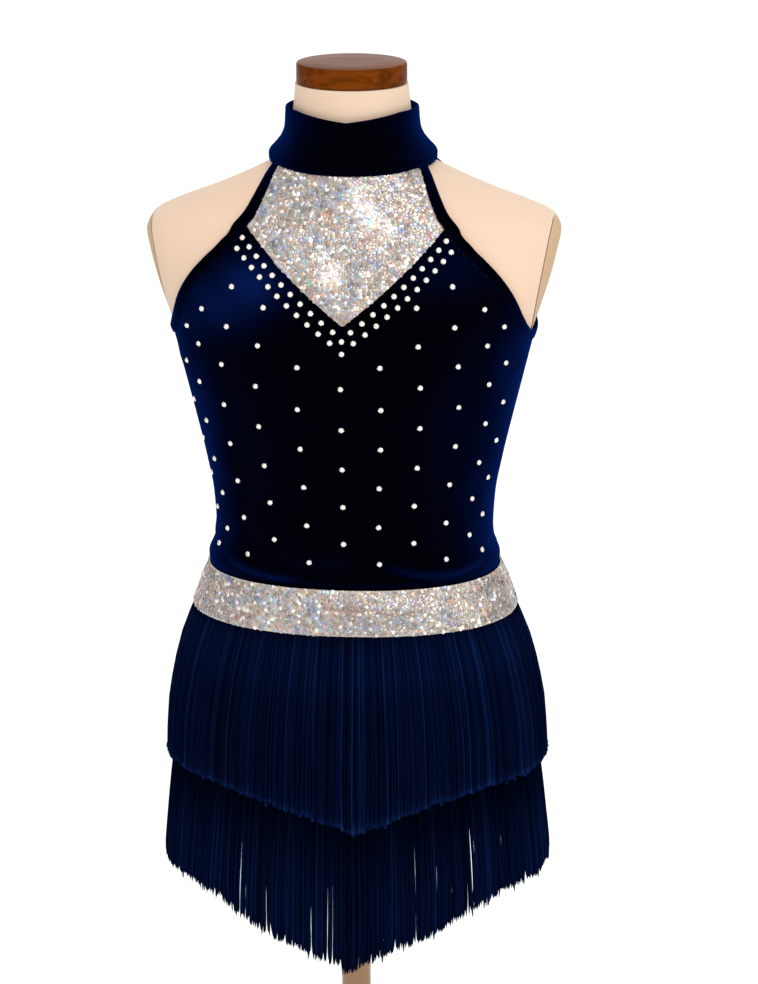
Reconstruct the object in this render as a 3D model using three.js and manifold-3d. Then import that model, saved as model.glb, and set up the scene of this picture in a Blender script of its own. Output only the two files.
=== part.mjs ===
// A halter dance dress with two tiers of fringe, worn by a limbless dress form on a short round stand.
// Millimetres, +Z up. The wearer faces -Y. The origin is on the floor, under the middle of the pole.
import * as THREE from "three";
import { mergeVertices } from "three/addons/utils/BufferGeometryUtils.js";
import Module from "manifold-3d";

const wasm = await Module();
wasm.setup();

// ---------------------------------------------------------------- driving dimensions
const SEAM = 0.3; // clearance between pieces that are sewn or seated together
const EASE = 1.35; // air between the form and the cloth on it
const VELVET = 1.35; // stretch velvet
const VELVET_OUTER = EASE + VELVET;

const NECK_TOP = 922.7;
const CAP = { radius: 43, height: 16, edge: 1.6 };

const WAIST_SEAM = 519; // bodice meets skirt base, under the belt
const SIDE_SEAM = 90; // degrees from the front
const BELT = { bottom: 498, top: 533.8, thickness: 1.8, topGap: 0.5, bottomGap: 2.7, flare: 516 };
const BINDING = { width: 8, thickness: 2.6 };
const INSET = { tip: 746.8, corner: 818.5, reach: 77, bow: [1.08, 0.22], thickness: 1.7, rise: 0.9, risen: 836 };
const COLLAR = { thickness: 2.6, notch: 6, notchSpan: 52, opening: 0.25 };
const SKIRT_HEM = 380;
const HEM_TURN = 1; // degrees round from the middle to the points of the fringe's hems

const HEADER = 1.6; // fringe heading tape, thickness
const LOCK = { thickness: 2.4, gap: 0.9 };
const POLE = { radius: 12, bottom: 12, top: 372 };
const STAND = { radius: 172, rim: 7, crown: 12, socketRadius: 21, socketTop: 46 };
const FORM_SIDES = 36;
const V_STEPS = 6; // divisions of the inset's lower edge, on each side
const ARM_STEPS = { top: 8, front: 9, back: 14 }; // divisions of the armhole's edge

// Sections of the dress form: half width, depth in front of and behind the widest line, that line's own y, and how
// square the section is (2 is an ellipse).
const FORM = [
  { z: 350, half: 118, front: 82, back: 88, middle: 4, square: 2.1 },
  { z: 356, half: 130, front: 93, back: 99, middle: 4, square: 2.15 },
  { z: 368, half: 137.5, front: 100, back: 106, middle: 4, square: 2.2 },
  { z: 388, half: 140, front: 102, back: 108, middle: 4, square: 2.2 },
  { z: 412, half: 139.7, front: 102, back: 107, middle: 4, square: 2.2 },
  { z: 440, half: 137, front: 99.8, back: 102.5, middle: 4, square: 2.2 },
  { z: 472, half: 131.7, front: 95, back: 94.5, middle: 3.5, square: 2.2 },
  { z: 500, half: 123.8, front: 89.5, back: 85.5, middle: 3, square: 2.2 },
  { z: 520, half: 117, front: 85.5, back: 79.5, middle: 2.5, square: 2.2 },
  { z: 540, half: 112, front: 82.3, back: 75.5, middle: 2, square: 2.2 },
  { z: 565, half: 108.4, front: 80, back: 72.5, middle: 2, square: 2.2 },
  { z: 592, half: 109.9, front: 80.5, back: 73, middle: 2, square: 2.2 },
  { z: 624, half: 115.7, front: 83.3, back: 76.5, middle: 2.5, square: 2.2 },
  { z: 657, half: 123.4, front: 86.6, back: 81.2, middle: 3, square: 2.2 },
  { z: 690, half: 131.5, front: 89.5, back: 85, middle: 3, square: 2.25 },
  { z: 722, half: 139.3, front: 90.5, back: 88.5, middle: 3.5, square: 2.35 },
  { z: 748, half: 147.8, front: 89, back: 90, middle: 4, square: 2.55 },
  { z: 772, half: 155.2, front: 84.5, back: 89.5, middle: 4, square: 2.75 },
  { z: 792, half: 160, front: 78, back: 86, middle: 4, square: 2.9 },
  { z: 806, half: 162.6, front: 72.5, back: 82, middle: 4, square: 2.9 },
  { z: 816, half: 158.6, front: 68.5, back: 78, middle: 3.5, square: 2.8 },
  { z: 825, half: 142, front: 65, back: 74, middle: 3, square: 2.6 },
  { z: 834, half: 119, front: 62, back: 70, middle: 2.5, square: 2.4 },
  { z: 844, half: 95.5, front: 59, back: 65.5, middle: 2, square: 2.25 },
  { z: 853, half: 77, front: 56.5, back: 60.5, middle: 1, square: 2.1 },
  { z: 861, half: 62.5, front: 54, back: 54.5, middle: 0, square: 2 },
  { z: 869, half: 53, front: 50.5, back: 49.5, middle: -1.5, square: 2 },
  { z: 880, half: 48.8, front: 47.2, back: 46.6, middle: -3.5, square: 2 },
  { z: 897, half: 46.4, front: 45.2, back: 45.2, middle: -6.5, square: 2 },
  { z: NECK_TOP, half: 43.8, front: 43.8, back: 43.8, middle: -9.5, square: 2 },
];
const NECK_AXIS = FORM.at(-1).middle;

// The armhole's edge, from the collar to under the arm, as an angle from the middle of the front and, behind, as one
// from the middle of the back.
const ARMHOLE = [
  { angle: 68, back: 60, z: 861.5 },
  { angle: 55.7, back: 52.1, z: 854.2 },
  { angle: 45.1, back: 43.9, z: 845.5 },
  { angle: 37.3, back: 36.7, z: 835.6 },
  { angle: 32.2, back: 32.1, z: 825.2 },
  { angle: 31, back: 31, z: 815 },
  { angle: 33.4, back: 33.4, z: 804.7 },
  { angle: 37.5, back: 37.5, z: 794.7 },
  { angle: 42, back: 42, z: 784.4 },
  { angle: 47.1, back: 47.1, z: 773.1 },
  { angle: 52.4, back: 52.4, z: 761.4 },
  { angle: 58.1, back: 58.1, z: 750.1 },
  { angle: 64.7, back: 64.7, z: 740.6 },
  { angle: 72.5, back: 72.5, z: 733.9 },
  { angle: 81.2, back: 81.2, z: 731 },
  { angle: 90, back: 90, z: 729.5 },
];

// How far the velvet rolls out over the belt's top edge.
const WAIST_ROLL = [
  { z: 500, lift: 0 },
  { z: 535.7, lift: 0 },
  { z: 538.2, lift: 2 },
  { z: 542.2, lift: 2.8 },
  { z: 548.2, lift: 1.7 },
  { z: 556.2, lift: 0.4 },
  { z: 568.2, lift: 0 },
  { z: 960, lift: 0 },
];

// The collar's outer face.
const COLLAR_RINGS = [
  { z: 858, half: 65.8, front: 60.7, back: 60.8, middle: -0.5 },
  { z: 864, half: 66, front: 61, back: 61.1, middle: -1 },
  { z: 871, half: 61.2, front: 57.8, back: 57.6, middle: -1.8 },
  { z: 879, half: 55.8, front: 54.2, back: 53.8, middle: -3 },
  { z: 888, half: 53, front: 52.2, back: 51.8, middle: -4.4 },
  { z: 905, half: 51.9, front: 51.6, back: 51.2, middle: -6.8 },
];

// Each tier of fringe: its heading tape, its hem by the angle from the nearer of its two points, in front and behind,
// and its locks' outer face as a reach beyond the form.
const UPPER_FRINGE = {
  locks: 108,
  tapeTop: 509,
  tapeBottom: 500,
  hem: [
    { angle: 0, z: 341 },
    { angle: 6, z: 347 },
    { angle: 14, z: 354.5 },
    { angle: 28, z: 365 },
    { angle: 38, z: 370.5 },
    { angle: 47, z: 374 },
    { angle: 90, z: 375 },
  ],
  face: [
    { z: 472, reach: 8.1 },
    { z: 426, reach: 11.4 },
  ],
  hemReach: 16.2,
};
const LOWER_FRINGE = {
  locks: 110,
  tapeTop: 404,
  tapeBottom: 393,
  hem: [
    { angle: 0, z: 224 },
    { angle: 6, z: 233 },
    { angle: 15, z: 244.5 },
    { angle: 23, z: 252 },
    { angle: 33, z: 266 },
    { angle: 43, z: 276.5 },
    { angle: 57, z: 284 },
    { angle: 90, z: 285 },
  ],
  face: [{ z: 364, reach: 10.9 }],
  hemReach: 18.9,
};

// ---------------------------------------------------------------- curves and surfaces
const radians = THREE.MathUtils.degToRad;

// A smooth value from a table's column that doesn't overshoot its rows.
function read(table, key, column, at) {
  const last = table.length - 1;
  const x = (i) => table[i][key];
  const y = (i) => table[i][column];
  if (at <= x(0)) return y(0);
  if (at >= x(last)) return y(last);
  let i = 0;
  while (at > x(i + 1)) i++;
  const slope = (k) => (y(k + 1) - y(k)) / (x(k + 1) - x(k));
  const tangent = (k) => {
    if (k === 0) return slope(0);
    if (k === last) return slope(last - 1);
    const before = slope(k - 1);
    const after = slope(k);
    return before * after <= 0 ? 0 : (2 * before * after) / (before + after);
  };
  const width = x(i + 1) - x(i);
  const t = (at - x(i)) / width;
  const rise = t * t * (3 - 2 * t);
  const start = t * (1 - t) * (1 - t) * width * tangent(i);
  const end = t * t * (t - 1) * width * tangent(i + 1);
  return y(i) + (y(i + 1) - y(i)) * rise + start + end;
}

const column = (table, name, z) => read(table, "z", name, z);

// A point on a section, at an angle from the front that grows towards +X.
function onSection(angle, z, section) {
  const s = Math.sin(radians(angle));
  const c = Math.cos(radians(angle));
  const n = section.square;
  const swell = (Math.abs(s) ** n + Math.abs(c) ** n) ** (-1 / n);
  const depth = c > 0 ? section.front : section.back;
  return new THREE.Vector3(section.half * s * swell, section.middle - depth * c * swell, z);
}

function formSection(z, grow = 0) {
  return {
    half: column(FORM, "half", z) + grow,
    front: column(FORM, "front", z) + grow,
    back: column(FORM, "back", z) + grow,
    middle: column(FORM, "middle", z),
    square: column(FORM, "square", z),
  };
}

const onForm = (angle, z) => onSection(angle, z, formSection(z));

// The surface's two directions at a point: round the body for one degree, and up it for one millimetre.
function directions(angle, z) {
  const round = onForm(angle + 0.5, z).sub(onForm(angle - 0.5, z));
  const up = onForm(angle, z + 0.5).sub(onForm(angle, z - 0.5));
  return { round, up };
}

function outward(angle, z) {
  const { round, up } = directions(angle, z);
  return round.cross(up).normalize();
}

// A point that stands off the form by a lift.
const onCloth = (angle, z, lift) => onForm(angle, z).addScaledVector(outward(angle, z), lift);

// The velvet bodice also rolls over the belt.
const onBodice = (angle, z, lift) => onCloth(angle, z, lift + column(WAIST_ROLL, "lift", z));

// The angle at which the form's section, grown by a lift, is a given distance to the side of the middle.
function angleAt(x, z, lift) {
  const section = formSection(z, lift);
  const share = Math.min(Math.abs(x) / section.half, 1);
  const n = section.square;
  const cotangent = Math.max(share ** -n - 1, 0) ** (1 / n);
  return (Math.sign(x) * Math.atan2(1, cotangent) * 180) / Math.PI;
}

// ---------------------------------------------------------------- solids
function solid(points, faces) {
  let volume = 0;
  for (const [a, b, c] of faces)
    volume += points[a].dot(new THREE.Vector3().crossVectors(points[b], points[c]));
  const turned = volume < 0 ? faces.map(([a, b, c]) => [a, c, b]) : faces;
  const geometry = new THREE.BufferGeometry();
  geometry.setFromPoints(points);
  geometry.setIndex(turned.flat());
  geometry.computeVertexNormals();
  return geometry;
}

const quad = (a, b, c, d) => [
  [a, b, c],
  [a, c, d],
];

// A closed wall between an inner skin (side 0) and an outer skin (side 1). place(i, j, side) gives its points.
function wall(place, across, up, closed = false) {
  const columns = closed ? across : across + 1;
  const points = [];
  for (const side of [0, 1])
    for (let j = 0; j <= up; j++) for (let i = 0; i < columns; i++) points.push(place(i, j, side));
  const at = (i, j, side) => (side * (up + 1) + j) * columns + (i % columns);
  const faces = [];
  for (let i = 0; i < across; i++) {
    for (let j = 0; j < up; j++) {
      faces.push(...quad(at(i, j, 1), at(i + 1, j, 1), at(i + 1, j + 1, 1), at(i, j + 1, 1)));
      faces.push(...quad(at(i, j, 0), at(i, j + 1, 0), at(i + 1, j + 1, 0), at(i + 1, j, 0)));
    }
    faces.push(...quad(at(i, 0, 0), at(i + 1, 0, 0), at(i + 1, 0, 1), at(i, 0, 1)));
    faces.push(...quad(at(i, up, 1), at(i + 1, up, 1), at(i + 1, up, 0), at(i, up, 0)));
  }
  if (!closed)
    for (let j = 0; j < up; j++) {
      faces.push(...quad(at(0, j, 0), at(0, j, 1), at(0, j + 1, 1), at(0, j + 1, 0)));
      faces.push(...quad(at(across, j, 1), at(across, j, 0), at(across, j + 1, 0), at(across, j + 1, 1)));
    }
  return solid(points, faces);
}

// A solid skinned over rings of points, closed with a flat fan at each end.
function skin(rings) {
  const sides = rings[0].length;
  const points = rings.flat();
  const faces = [];
  for (let j = 0; j + 1 < rings.length; j++)
    for (let i = 0; i < sides; i++) {
      const next = (i + 1) % sides;
      faces.push(...quad(j * sides + i, j * sides + next, (j + 1) * sides + next, (j + 1) * sides + i));
    }
  for (const [row, up] of [
    [0, false],
    [rings.length - 1, true],
  ]) {
    const ring = rings[row];
    const centre = ring.reduce((sum, p) => sum.add(p), new THREE.Vector3()).divideScalar(sides);
    const middle = points.push(centre) - 1;
    for (let i = 0; i < sides; i++) {
      const a = row * sides + i;
      const b = row * sides + ((i + 1) % sides);
      faces.push(up ? [a, b, middle] : [b, a, middle]);
    }
  }
  return solid(points, faces);
}

function toManifold(geometry) {
  const bare = geometry.clone();
  bare.deleteAttribute("normal");
  bare.deleteAttribute("uv");
  const merged = mergeVertices(bare, 1e-4);
  return new wasm.Manifold(
    new wasm.Mesh({
      numProp: 3,
      vertProperties: merged.attributes.position.array,
      triVerts: new Uint32Array(merged.index.array),
    }),
  );
}

function fromManifold(body) {
  const mesh = body.getMesh();
  const geometry = new THREE.BufferGeometry();
  geometry.setAttribute("position", new THREE.BufferAttribute(mesh.vertProperties, 3));
  geometry.setIndex(new THREE.BufferAttribute(mesh.triVerts, 1));
  geometry.computeVertexNormals();
  return geometry;
}

// ---------------------------------------------------------------- materials
const finish = (color, roughness, metalness = 0) =>
  new THREE.MeshStandardMaterial({ color, roughness, metalness });
const velvet = finish(0x040a2c, 0.75);
const sequins = finish(0xc9bcae, 0.3, 0.4);
const chainette = finish(0x050c30, 0.5);
const jersey = finish(0xf0d9bf, 0.8);
const wood = finish(0x6f3210, 0.35);
const steel = finish(0xb9a48c, 0.25, 1);

const dress = new THREE.Group();
function piece(name, geometry, material) {
  const mesh = new THREE.Mesh(geometry, material);
  mesh.name = name;
  dress.add(mesh);
}

// ---------------------------------------------------------------- dress form
const NECK_RINGS = [848.5, 857, 865]; // more rings of the form, where its neck flares
const FORM_HEIGHTS = [...FORM.map((row) => row.z), ...NECK_RINGS].sort((a, b) => a - b);
const ARM_CUT = { reach: 150, z: 780, lean: 10.5, size: 240 }; // the plane that an arm plate closes

// A block beyond the plane that an arm plate closes, on one side.
function beyondArm(side, gap) {
  const block = new THREE.BoxGeometry(ARM_CUT.size, ARM_CUT.size, ARM_CUT.size);
  block.translate(ARM_CUT.size / 2 + gap, 0, 0);
  block.rotateY(radians(ARM_CUT.lean));
  block.translate(ARM_CUT.reach, 0, ARM_CUT.z);
  if (side < 0) block.rotateZ(Math.PI);
  return toManifold(block);
}

function makeForm() {
  const rings = FORM_HEIGHTS.map((z) =>
    Array.from({ length: FORM_SIDES }, (_, i) => onForm((360 * i) / FORM_SIDES, z)),
  );
  const whole = toManifold(skin(rings));
  const socket = new THREE.CylinderGeometry(POLE.radius + SEAM, POLE.radius + SEAM, 80, 24);
  socket.rotateX(Math.PI / 2);
  socket.translate(0, 0, POLE.top + SEAM - 40);
  const torso = whole.subtract(beyondArm(1, 0)).subtract(beyondArm(-1, 0)).subtract(toManifold(socket));
  piece("form_torso", fromManifold(torso), jersey);
  for (const [name, side] of [
    ["form_arm_plate_left", 1],
    ["form_arm_plate_right", -1],
  ])
    piece(name, fromManifold(whole.intersect(beyondArm(side, SEAM))), jersey);
}

// A turned piece about a vertical line. The profile's points are [radius, height].
function turned(profile, sides, y = 0) {
  const lathe = new THREE.LatheGeometry(
    profile.map(([r, z]) => new THREE.Vector2(r, z)),
    sides,
  );
  lathe.rotateX(Math.PI / 2);
  lathe.translate(0, y, 0);
  return lathe;
}

function makeStand() {
  const capBottom = NECK_TOP + SEAM;
  const capTop = capBottom + CAP.height;
  const cap = [
    [0, capBottom],
    [CAP.radius - CAP.edge, capBottom],
    [CAP.radius, capBottom + CAP.edge],
    [CAP.radius, capTop - CAP.edge],
    [CAP.radius - CAP.edge, capTop],
    [0, capTop],
  ];
  piece("neck_cap", turned(cap, 36, NECK_AXIS), wood);
  const pole = [
    [0, POLE.bottom],
    [POLE.radius, POLE.bottom],
    [POLE.radius, POLE.top],
    [0, POLE.top],
  ];
  piece("pole", turned(pole, 24), steel);
  const base = [
    [0, 0],
    [STAND.radius - 1.5, 0],
    [STAND.radius, 1.5],
    [STAND.radius, STAND.rim - 2],
    [STAND.radius - 2.5, STAND.rim],
    [STAND.socketRadius + 30, STAND.crown],
    [0, STAND.crown],
  ];
  piece("stand_base", turned(base, 48), steel);
  const bore = POLE.radius + SEAM;
  const socket = [
    [bore, STAND.crown],
    [STAND.socketRadius + 6, STAND.crown],
    [STAND.socketRadius, STAND.crown + 6],
    [STAND.socketRadius - 2, STAND.socketTop - 1.5],
    [STAND.socketRadius - 3.5, STAND.socketTop],
    [bore, STAND.socketTop],
    [bore, STAND.crown],
  ];
  piece("pole_socket", turned(socket, 24), steel);
}

// ---------------------------------------------------------------- bodice
// A domain point at a share of the way along the armhole's edge: 0 and 1 are at the collar, 0.5 is under the arm.
const ARMHOLE_STEPS = ARMHOLE.map((row, i) => ({ step: i / (ARMHOLE.length - 1), ...row }));
function armholeEdge(share) {
  const front = share <= 0.5;
  const step = front ? share * 2 : (1 - share) * 2;
  const angle = read(ARMHOLE_STEPS, "step", front ? "angle" : "back", step);
  return { angle: front ? angle : 180 - angle, z: read(ARMHOLE_STEPS, "step", "z", step) };
}

// The armhole's edge, moved into the panels over the surface.
function insideArmhole(share, distance) {
  const small = 0.004;
  const here = armholeEdge(share);
  const before = armholeEdge(Math.max(share - small, 0));
  const after = armholeEdge(Math.min(share + small, 1));
  const along = onForm(after.angle, after.z).sub(onForm(before.angle, before.z)).normalize();
  const inward = outward(here.angle, here.z).cross(along).negate();
  const { round, up } = directions(here.angle, here.z);
  const rr = round.dot(round);
  const uu = up.dot(up);
  const ru = round.dot(up);
  const r = inward.dot(round);
  const u = inward.dot(up);
  const scale = distance / (rr * uu - ru * ru);
  return {
    angle: here.angle + (r * uu - u * ru) * scale,
    z: here.z + (u * rr - r * ru) * scale,
  };
}

const mirrored = (point) => ({ angle: -point.angle, z: point.z });
const PANEL_EDGE = BINDING.width + SEAM;

// The inset's lower edge on the front, as a height for a distance from the middle.
function insetEdge(x) {
  const share = Math.abs(x) / INSET.reach;
  return INSET.tip + (INSET.corner - INSET.tip) * share ** (INSET.bow[0] + INSET.bow[1] * share);
}

// The share of the armhole where the binding's inner edge passes the inset's corner.
function cornerShare() {
  let low = 0.02;
  let high = 0.4;
  for (let i = 0; i < 40; i++) {
    const middle = (low + high) / 2;
    const point = insideArmhole(middle, PANEL_EDGE);
    const x = onCloth(point.angle, point.z, VELVET_OUTER).x;
    if (point.z > insetEdge(x)) low = middle;
    else high = middle;
  }
  return low;
}
const CORNER = cornerShare();

// Top edge of the front panel on the +X side, from the side seam to the middle.
function frontTop() {
  const edge = [];
  for (let i = 0; i <= ARM_STEPS.front; i++) {
    const point = insideArmhole(THREE.MathUtils.lerp(0.5, CORNER, i / ARM_STEPS.front), PANEL_EDGE);
    edge.push({ angle: Math.min(point.angle, SIDE_SEAM), z: point.z });
  }
  const corner = edge.at(-1);
  const reach = onCloth(corner.angle, corner.z, VELVET_OUTER).x;
  for (let i = 1; i <= V_STEPS; i++) {
    const x = reach * (1 - i / V_STEPS);
    const z = insetEdge(x) - SEAM;
    edge.push({ angle: angleAt(x, z, VELVET_OUTER), z });
  }
  return edge;
}

const BODY_ROWS = [WAIST_SEAM, 535.2, 539.2, 544.2, 552.2, 568.2, 592, 626, 660, 694];

function makeFront() {
  const half = frontTop();
  const columns = [...half, ...half.slice(0, -1).reverse().map(mirrored)];
  const seamAngle = SIDE_SEAM - 0.08;
  // The rows above the last fixed one spread up to the top edge.
  const upper = 4;
  const last = BODY_ROWS.length - 1;
  const place = (i, j, side) => {
    const top = columns[i];
    const angle = THREE.MathUtils.clamp(top.angle, -seamAngle, seamAngle);
    const z =
      j <= last ? BODY_ROWS[j] : THREE.MathUtils.lerp(BODY_ROWS[last], top.z, (j - last) / upper);
    return onBodice(angle, z, side ? VELVET_OUTER : EASE);
  };
  piece("bodice_front", wall(place, columns.length - 1, last + upper), velvet);
}

const COLLAR_LAP = 3; // how far the panels run up before they are trimmed to the collar's lower edge
const collarBottom = (angle) => COLLAR_RINGS[0].z + 4 * (1 - Math.cos(radians(angle)));

function collarPoint(angle, share, inset) {
  const notch = Math.max(0, 1 - Math.abs(angle) / COLLAR.notchSpan) * COLLAR.notch;
  const top = COLLAR_RINGS.at(-1).z;
  const z = THREE.MathUtils.lerp(collarBottom(angle), top - notch, share);
  const ringZ = THREE.MathUtils.lerp(COLLAR_RINGS[0].z, top, share);
  const section = {
    half: column(COLLAR_RINGS, "half", ringZ) - inset,
    front: column(COLLAR_RINGS, "front", ringZ) - inset,
    back: column(COLLAR_RINGS, "back", ringZ) - inset,
    middle: column(COLLAR_RINGS, "middle", ringZ),
    square: 2,
  };
  return onSection(angle, z, section);
}

// A panel without what would stand in the collar's own room.
function trimToCollar(geometry) {
  const sides = 44;
  const ring = (share, drop) =>
    Array.from({ length: sides }, (_, i) => {
      const point = collarPoint((360 * i) / sides - 180, share, -SEAM);
      point.z -= drop;
      return point;
    });
  const room = toManifold(skin([ring(0, SEAM), ring(0.2, 0), ring(0.5, 0), ring(1, 0)]));
  return fromManifold(toManifold(geometry).subtract(room));
}

function makeBack() {
  const across = 11;
  const steps = ARM_STEPS.back;
  const seamAngle = SIDE_SEAM + 0.08;
  const middleAngle = 180 - 0.1;
  const rows = BODY_ROWS.map((z) => ({ outer: { angle: seamAngle, z }, middleZ: z }));
  for (let i = 0; i <= steps; i++) {
    const point = insideArmhole(0.5 + (0.5 * i) / steps, PANEL_EDGE);
    const last = i === steps;
    rows.push({
      outer: { angle: Math.max(point.angle, seamAngle), z: point.z },
      middleZ: last ? collarBottom(180) + COLLAR_LAP : point.z,
    });
  }
  for (const [name, side] of [
    ["bodice_back_left", 1],
    ["bodice_back_right", -1],
  ]) {
    const place = (i, j, skinSide) => {
      const { outer, middleZ } = rows[j];
      const share = (i / across) ** 1.2;
      const angle = THREE.MathUtils.lerp(outer.angle, middleAngle, share);
      const z = THREE.MathUtils.lerp(outer.z, middleZ, share);
      return onBodice(side * angle, z, skinSide ? VELVET_OUTER : EASE);
    };
    piece(name, trimToCollar(wall(place, across, rows.length - 1)), velvet);
  }
}

function makeInset() {
  const across = 2 * V_STEPS;
  const up = ARM_STEPS.top;
  // Left and right edges run beside the binding, the lower edge is the V and the upper one goes into the collar.
  const sideAt = (share) => {
    const point = insideArmhole(CORNER * (1 - share), PANEL_EDGE);
    const place = onCloth(point.angle, point.z, VELVET_OUTER);
    return new THREE.Vector2(place.x, point.z);
  };
  const corner = sideAt(0);
  const top = sideAt(1);
  const lower = (u) => {
    const x = corner.x * u;
    return new THREE.Vector2(x, insetEdge(x));
  };
  const upperEdge = (u) => {
    const middle = collarBottom(0) + COLLAR_LAP;
    return new THREE.Vector2(top.x * u, middle + (top.y - middle) * u * u);
  };
  const place = (i, j, side) => {
    const u = (2 * i) / across - 1;
    const v = j / up;
    const edge = sideAt(v);
    const ruled = lower(u).lerp(upperEdge(u), v);
    const ends = corner.clone().lerp(top, v);
    const x = ruled.x + u * (edge.x - ends.x);
    const z = ruled.y + Math.abs(u) * (edge.y - ends.y);
    const rise = INSET.rise * THREE.MathUtils.smoothstep(z, INSET.corner - 6, INSET.risen);
    return onCloth(angleAt(x, z, VELVET_OUTER), z, EASE + rise + side * INSET.thickness);
  };
  piece("neck_inset", trimToCollar(wall(place, across, up)), sequins);
}

function makeBindings() {
  const shares = [];
  for (let i = 0; i < ARM_STEPS.top; i++) shares.push((CORNER * i) / ARM_STEPS.top);
  for (let i = 0; i < ARM_STEPS.front; i++)
    shares.push(THREE.MathUtils.lerp(CORNER, 0.5, i / ARM_STEPS.front));
  for (let i = 0; i <= ARM_STEPS.back; i++) shares.push(0.5 + (0.5 * i) / ARM_STEPS.back);
  // The folded strip's section: distance in from the armhole's edge, and lift off the form.
  const low = EASE;
  const high = EASE + BINDING.thickness;
  const section = [
    [0, (low + high) / 2],
    [1, low],
    [BINDING.width, low],
    [BINDING.width, high - 0.5],
    [BINDING.width - 0.8, high],
    [1, high],
  ];
  for (const [name, side] of [
    ["armhole_binding_left", 1],
    ["armhole_binding_right", -1],
  ]) {
    const rings = shares.map((share) =>
      section.map(([distance, lift]) => {
        const point = insideArmhole(share, distance);
        return onCloth(side * point.angle, point.z, lift);
      }),
    );
    piece(name, trimToCollar(skin(rings)), velvet);
  }
}

// ---------------------------------------------------------------- collar, belt and skirt base
function makeCollar() {
  const across = 44;
  const up = 5;
  const start = -180 + COLLAR.opening;
  const place = (i, j, side) => {
    const angle = start + ((360 - 2 * COLLAR.opening) * i) / across;
    return collarPoint(angle, j / up, side ? 0 : COLLAR.thickness);
  };
  piece("collar", wall(place, across, up), velvet);
}

function makeBelt() {
  const across = 44;
  const up = 3;
  const place = (i, j, side) => {
    const z = THREE.MathUtils.lerp(BELT.bottom, BELT.top, j / up);
    const flared = THREE.MathUtils.smoothstep(BELT.top - z, 0, BELT.top - BELT.flare);
    const gap = THREE.MathUtils.lerp(BELT.topGap, BELT.bottomGap, flared);
    return onCloth((360 * i) / across, z, VELVET_OUTER + gap + (side ? BELT.thickness : 0));
  };
  piece("belt", wall(place, across, up, true), sequins);
}

function makeSkirtBase() {
  const across = FORM_SIDES;
  const top = WAIST_SEAM - SEAM;
  const heights = [SKIRT_HEM, ...FORM_HEIGHTS.filter((z) => z > SKIRT_HEM + 4 && z < top - 8), top];
  const place = (i, j, side) => onCloth((360 * i) / across, heights[j], side ? VELVET_OUTER : EASE);
  piece("skirt_base", wall(place, across, heights.length - 1, true), velvet);
}

// ---------------------------------------------------------------- fringe
// Below the hips the fringe hangs from the widest section.
const HIP = 388;
function onFringe(angle, z, reach) {
  return onSection(angle, z, formSection(Math.max(z, HIP), reach));
}

// Angles that divide a ring into equal lengths.
function evenAngles(count, z, reach) {
  const fine = 720;
  const lengths = [0];
  for (let i = 1; i <= fine; i++) {
    const a = onFringe((360 * (i - 1)) / fine, z, reach);
    const b = onFringe((360 * i) / fine, z, reach);
    lengths.push(lengths.at(-1) + a.distanceTo(b));
  }
  const angles = [];
  let k = 0;
  for (let i = 0; i <= count; i++) {
    const target = (lengths.at(-1) * i) / count;
    while (k < fine - 1 && lengths[k + 1] < target) k++;
    const part = (target - lengths[k]) / (lengths[k + 1] - lengths[k]);
    angles.push((360 * (k + part)) / fine);
  }
  return { angles, length: lengths.at(-1) };
}

// A steady, uneven number from 0 to 1 for each whole number.
const uneven = (i, seed) => {
  const value = Math.sin(i * 12.9898 + seed * 78.233) * 43758.5453;
  return value - Math.floor(value);
};

function hemAt(tier, angle) {
  const fromPoint = (Math.asin(Math.abs(Math.sin(radians(angle - HEM_TURN)))) * 180) / Math.PI;
  return read(tier.hem, "angle", "z", fromPoint);
}

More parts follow.
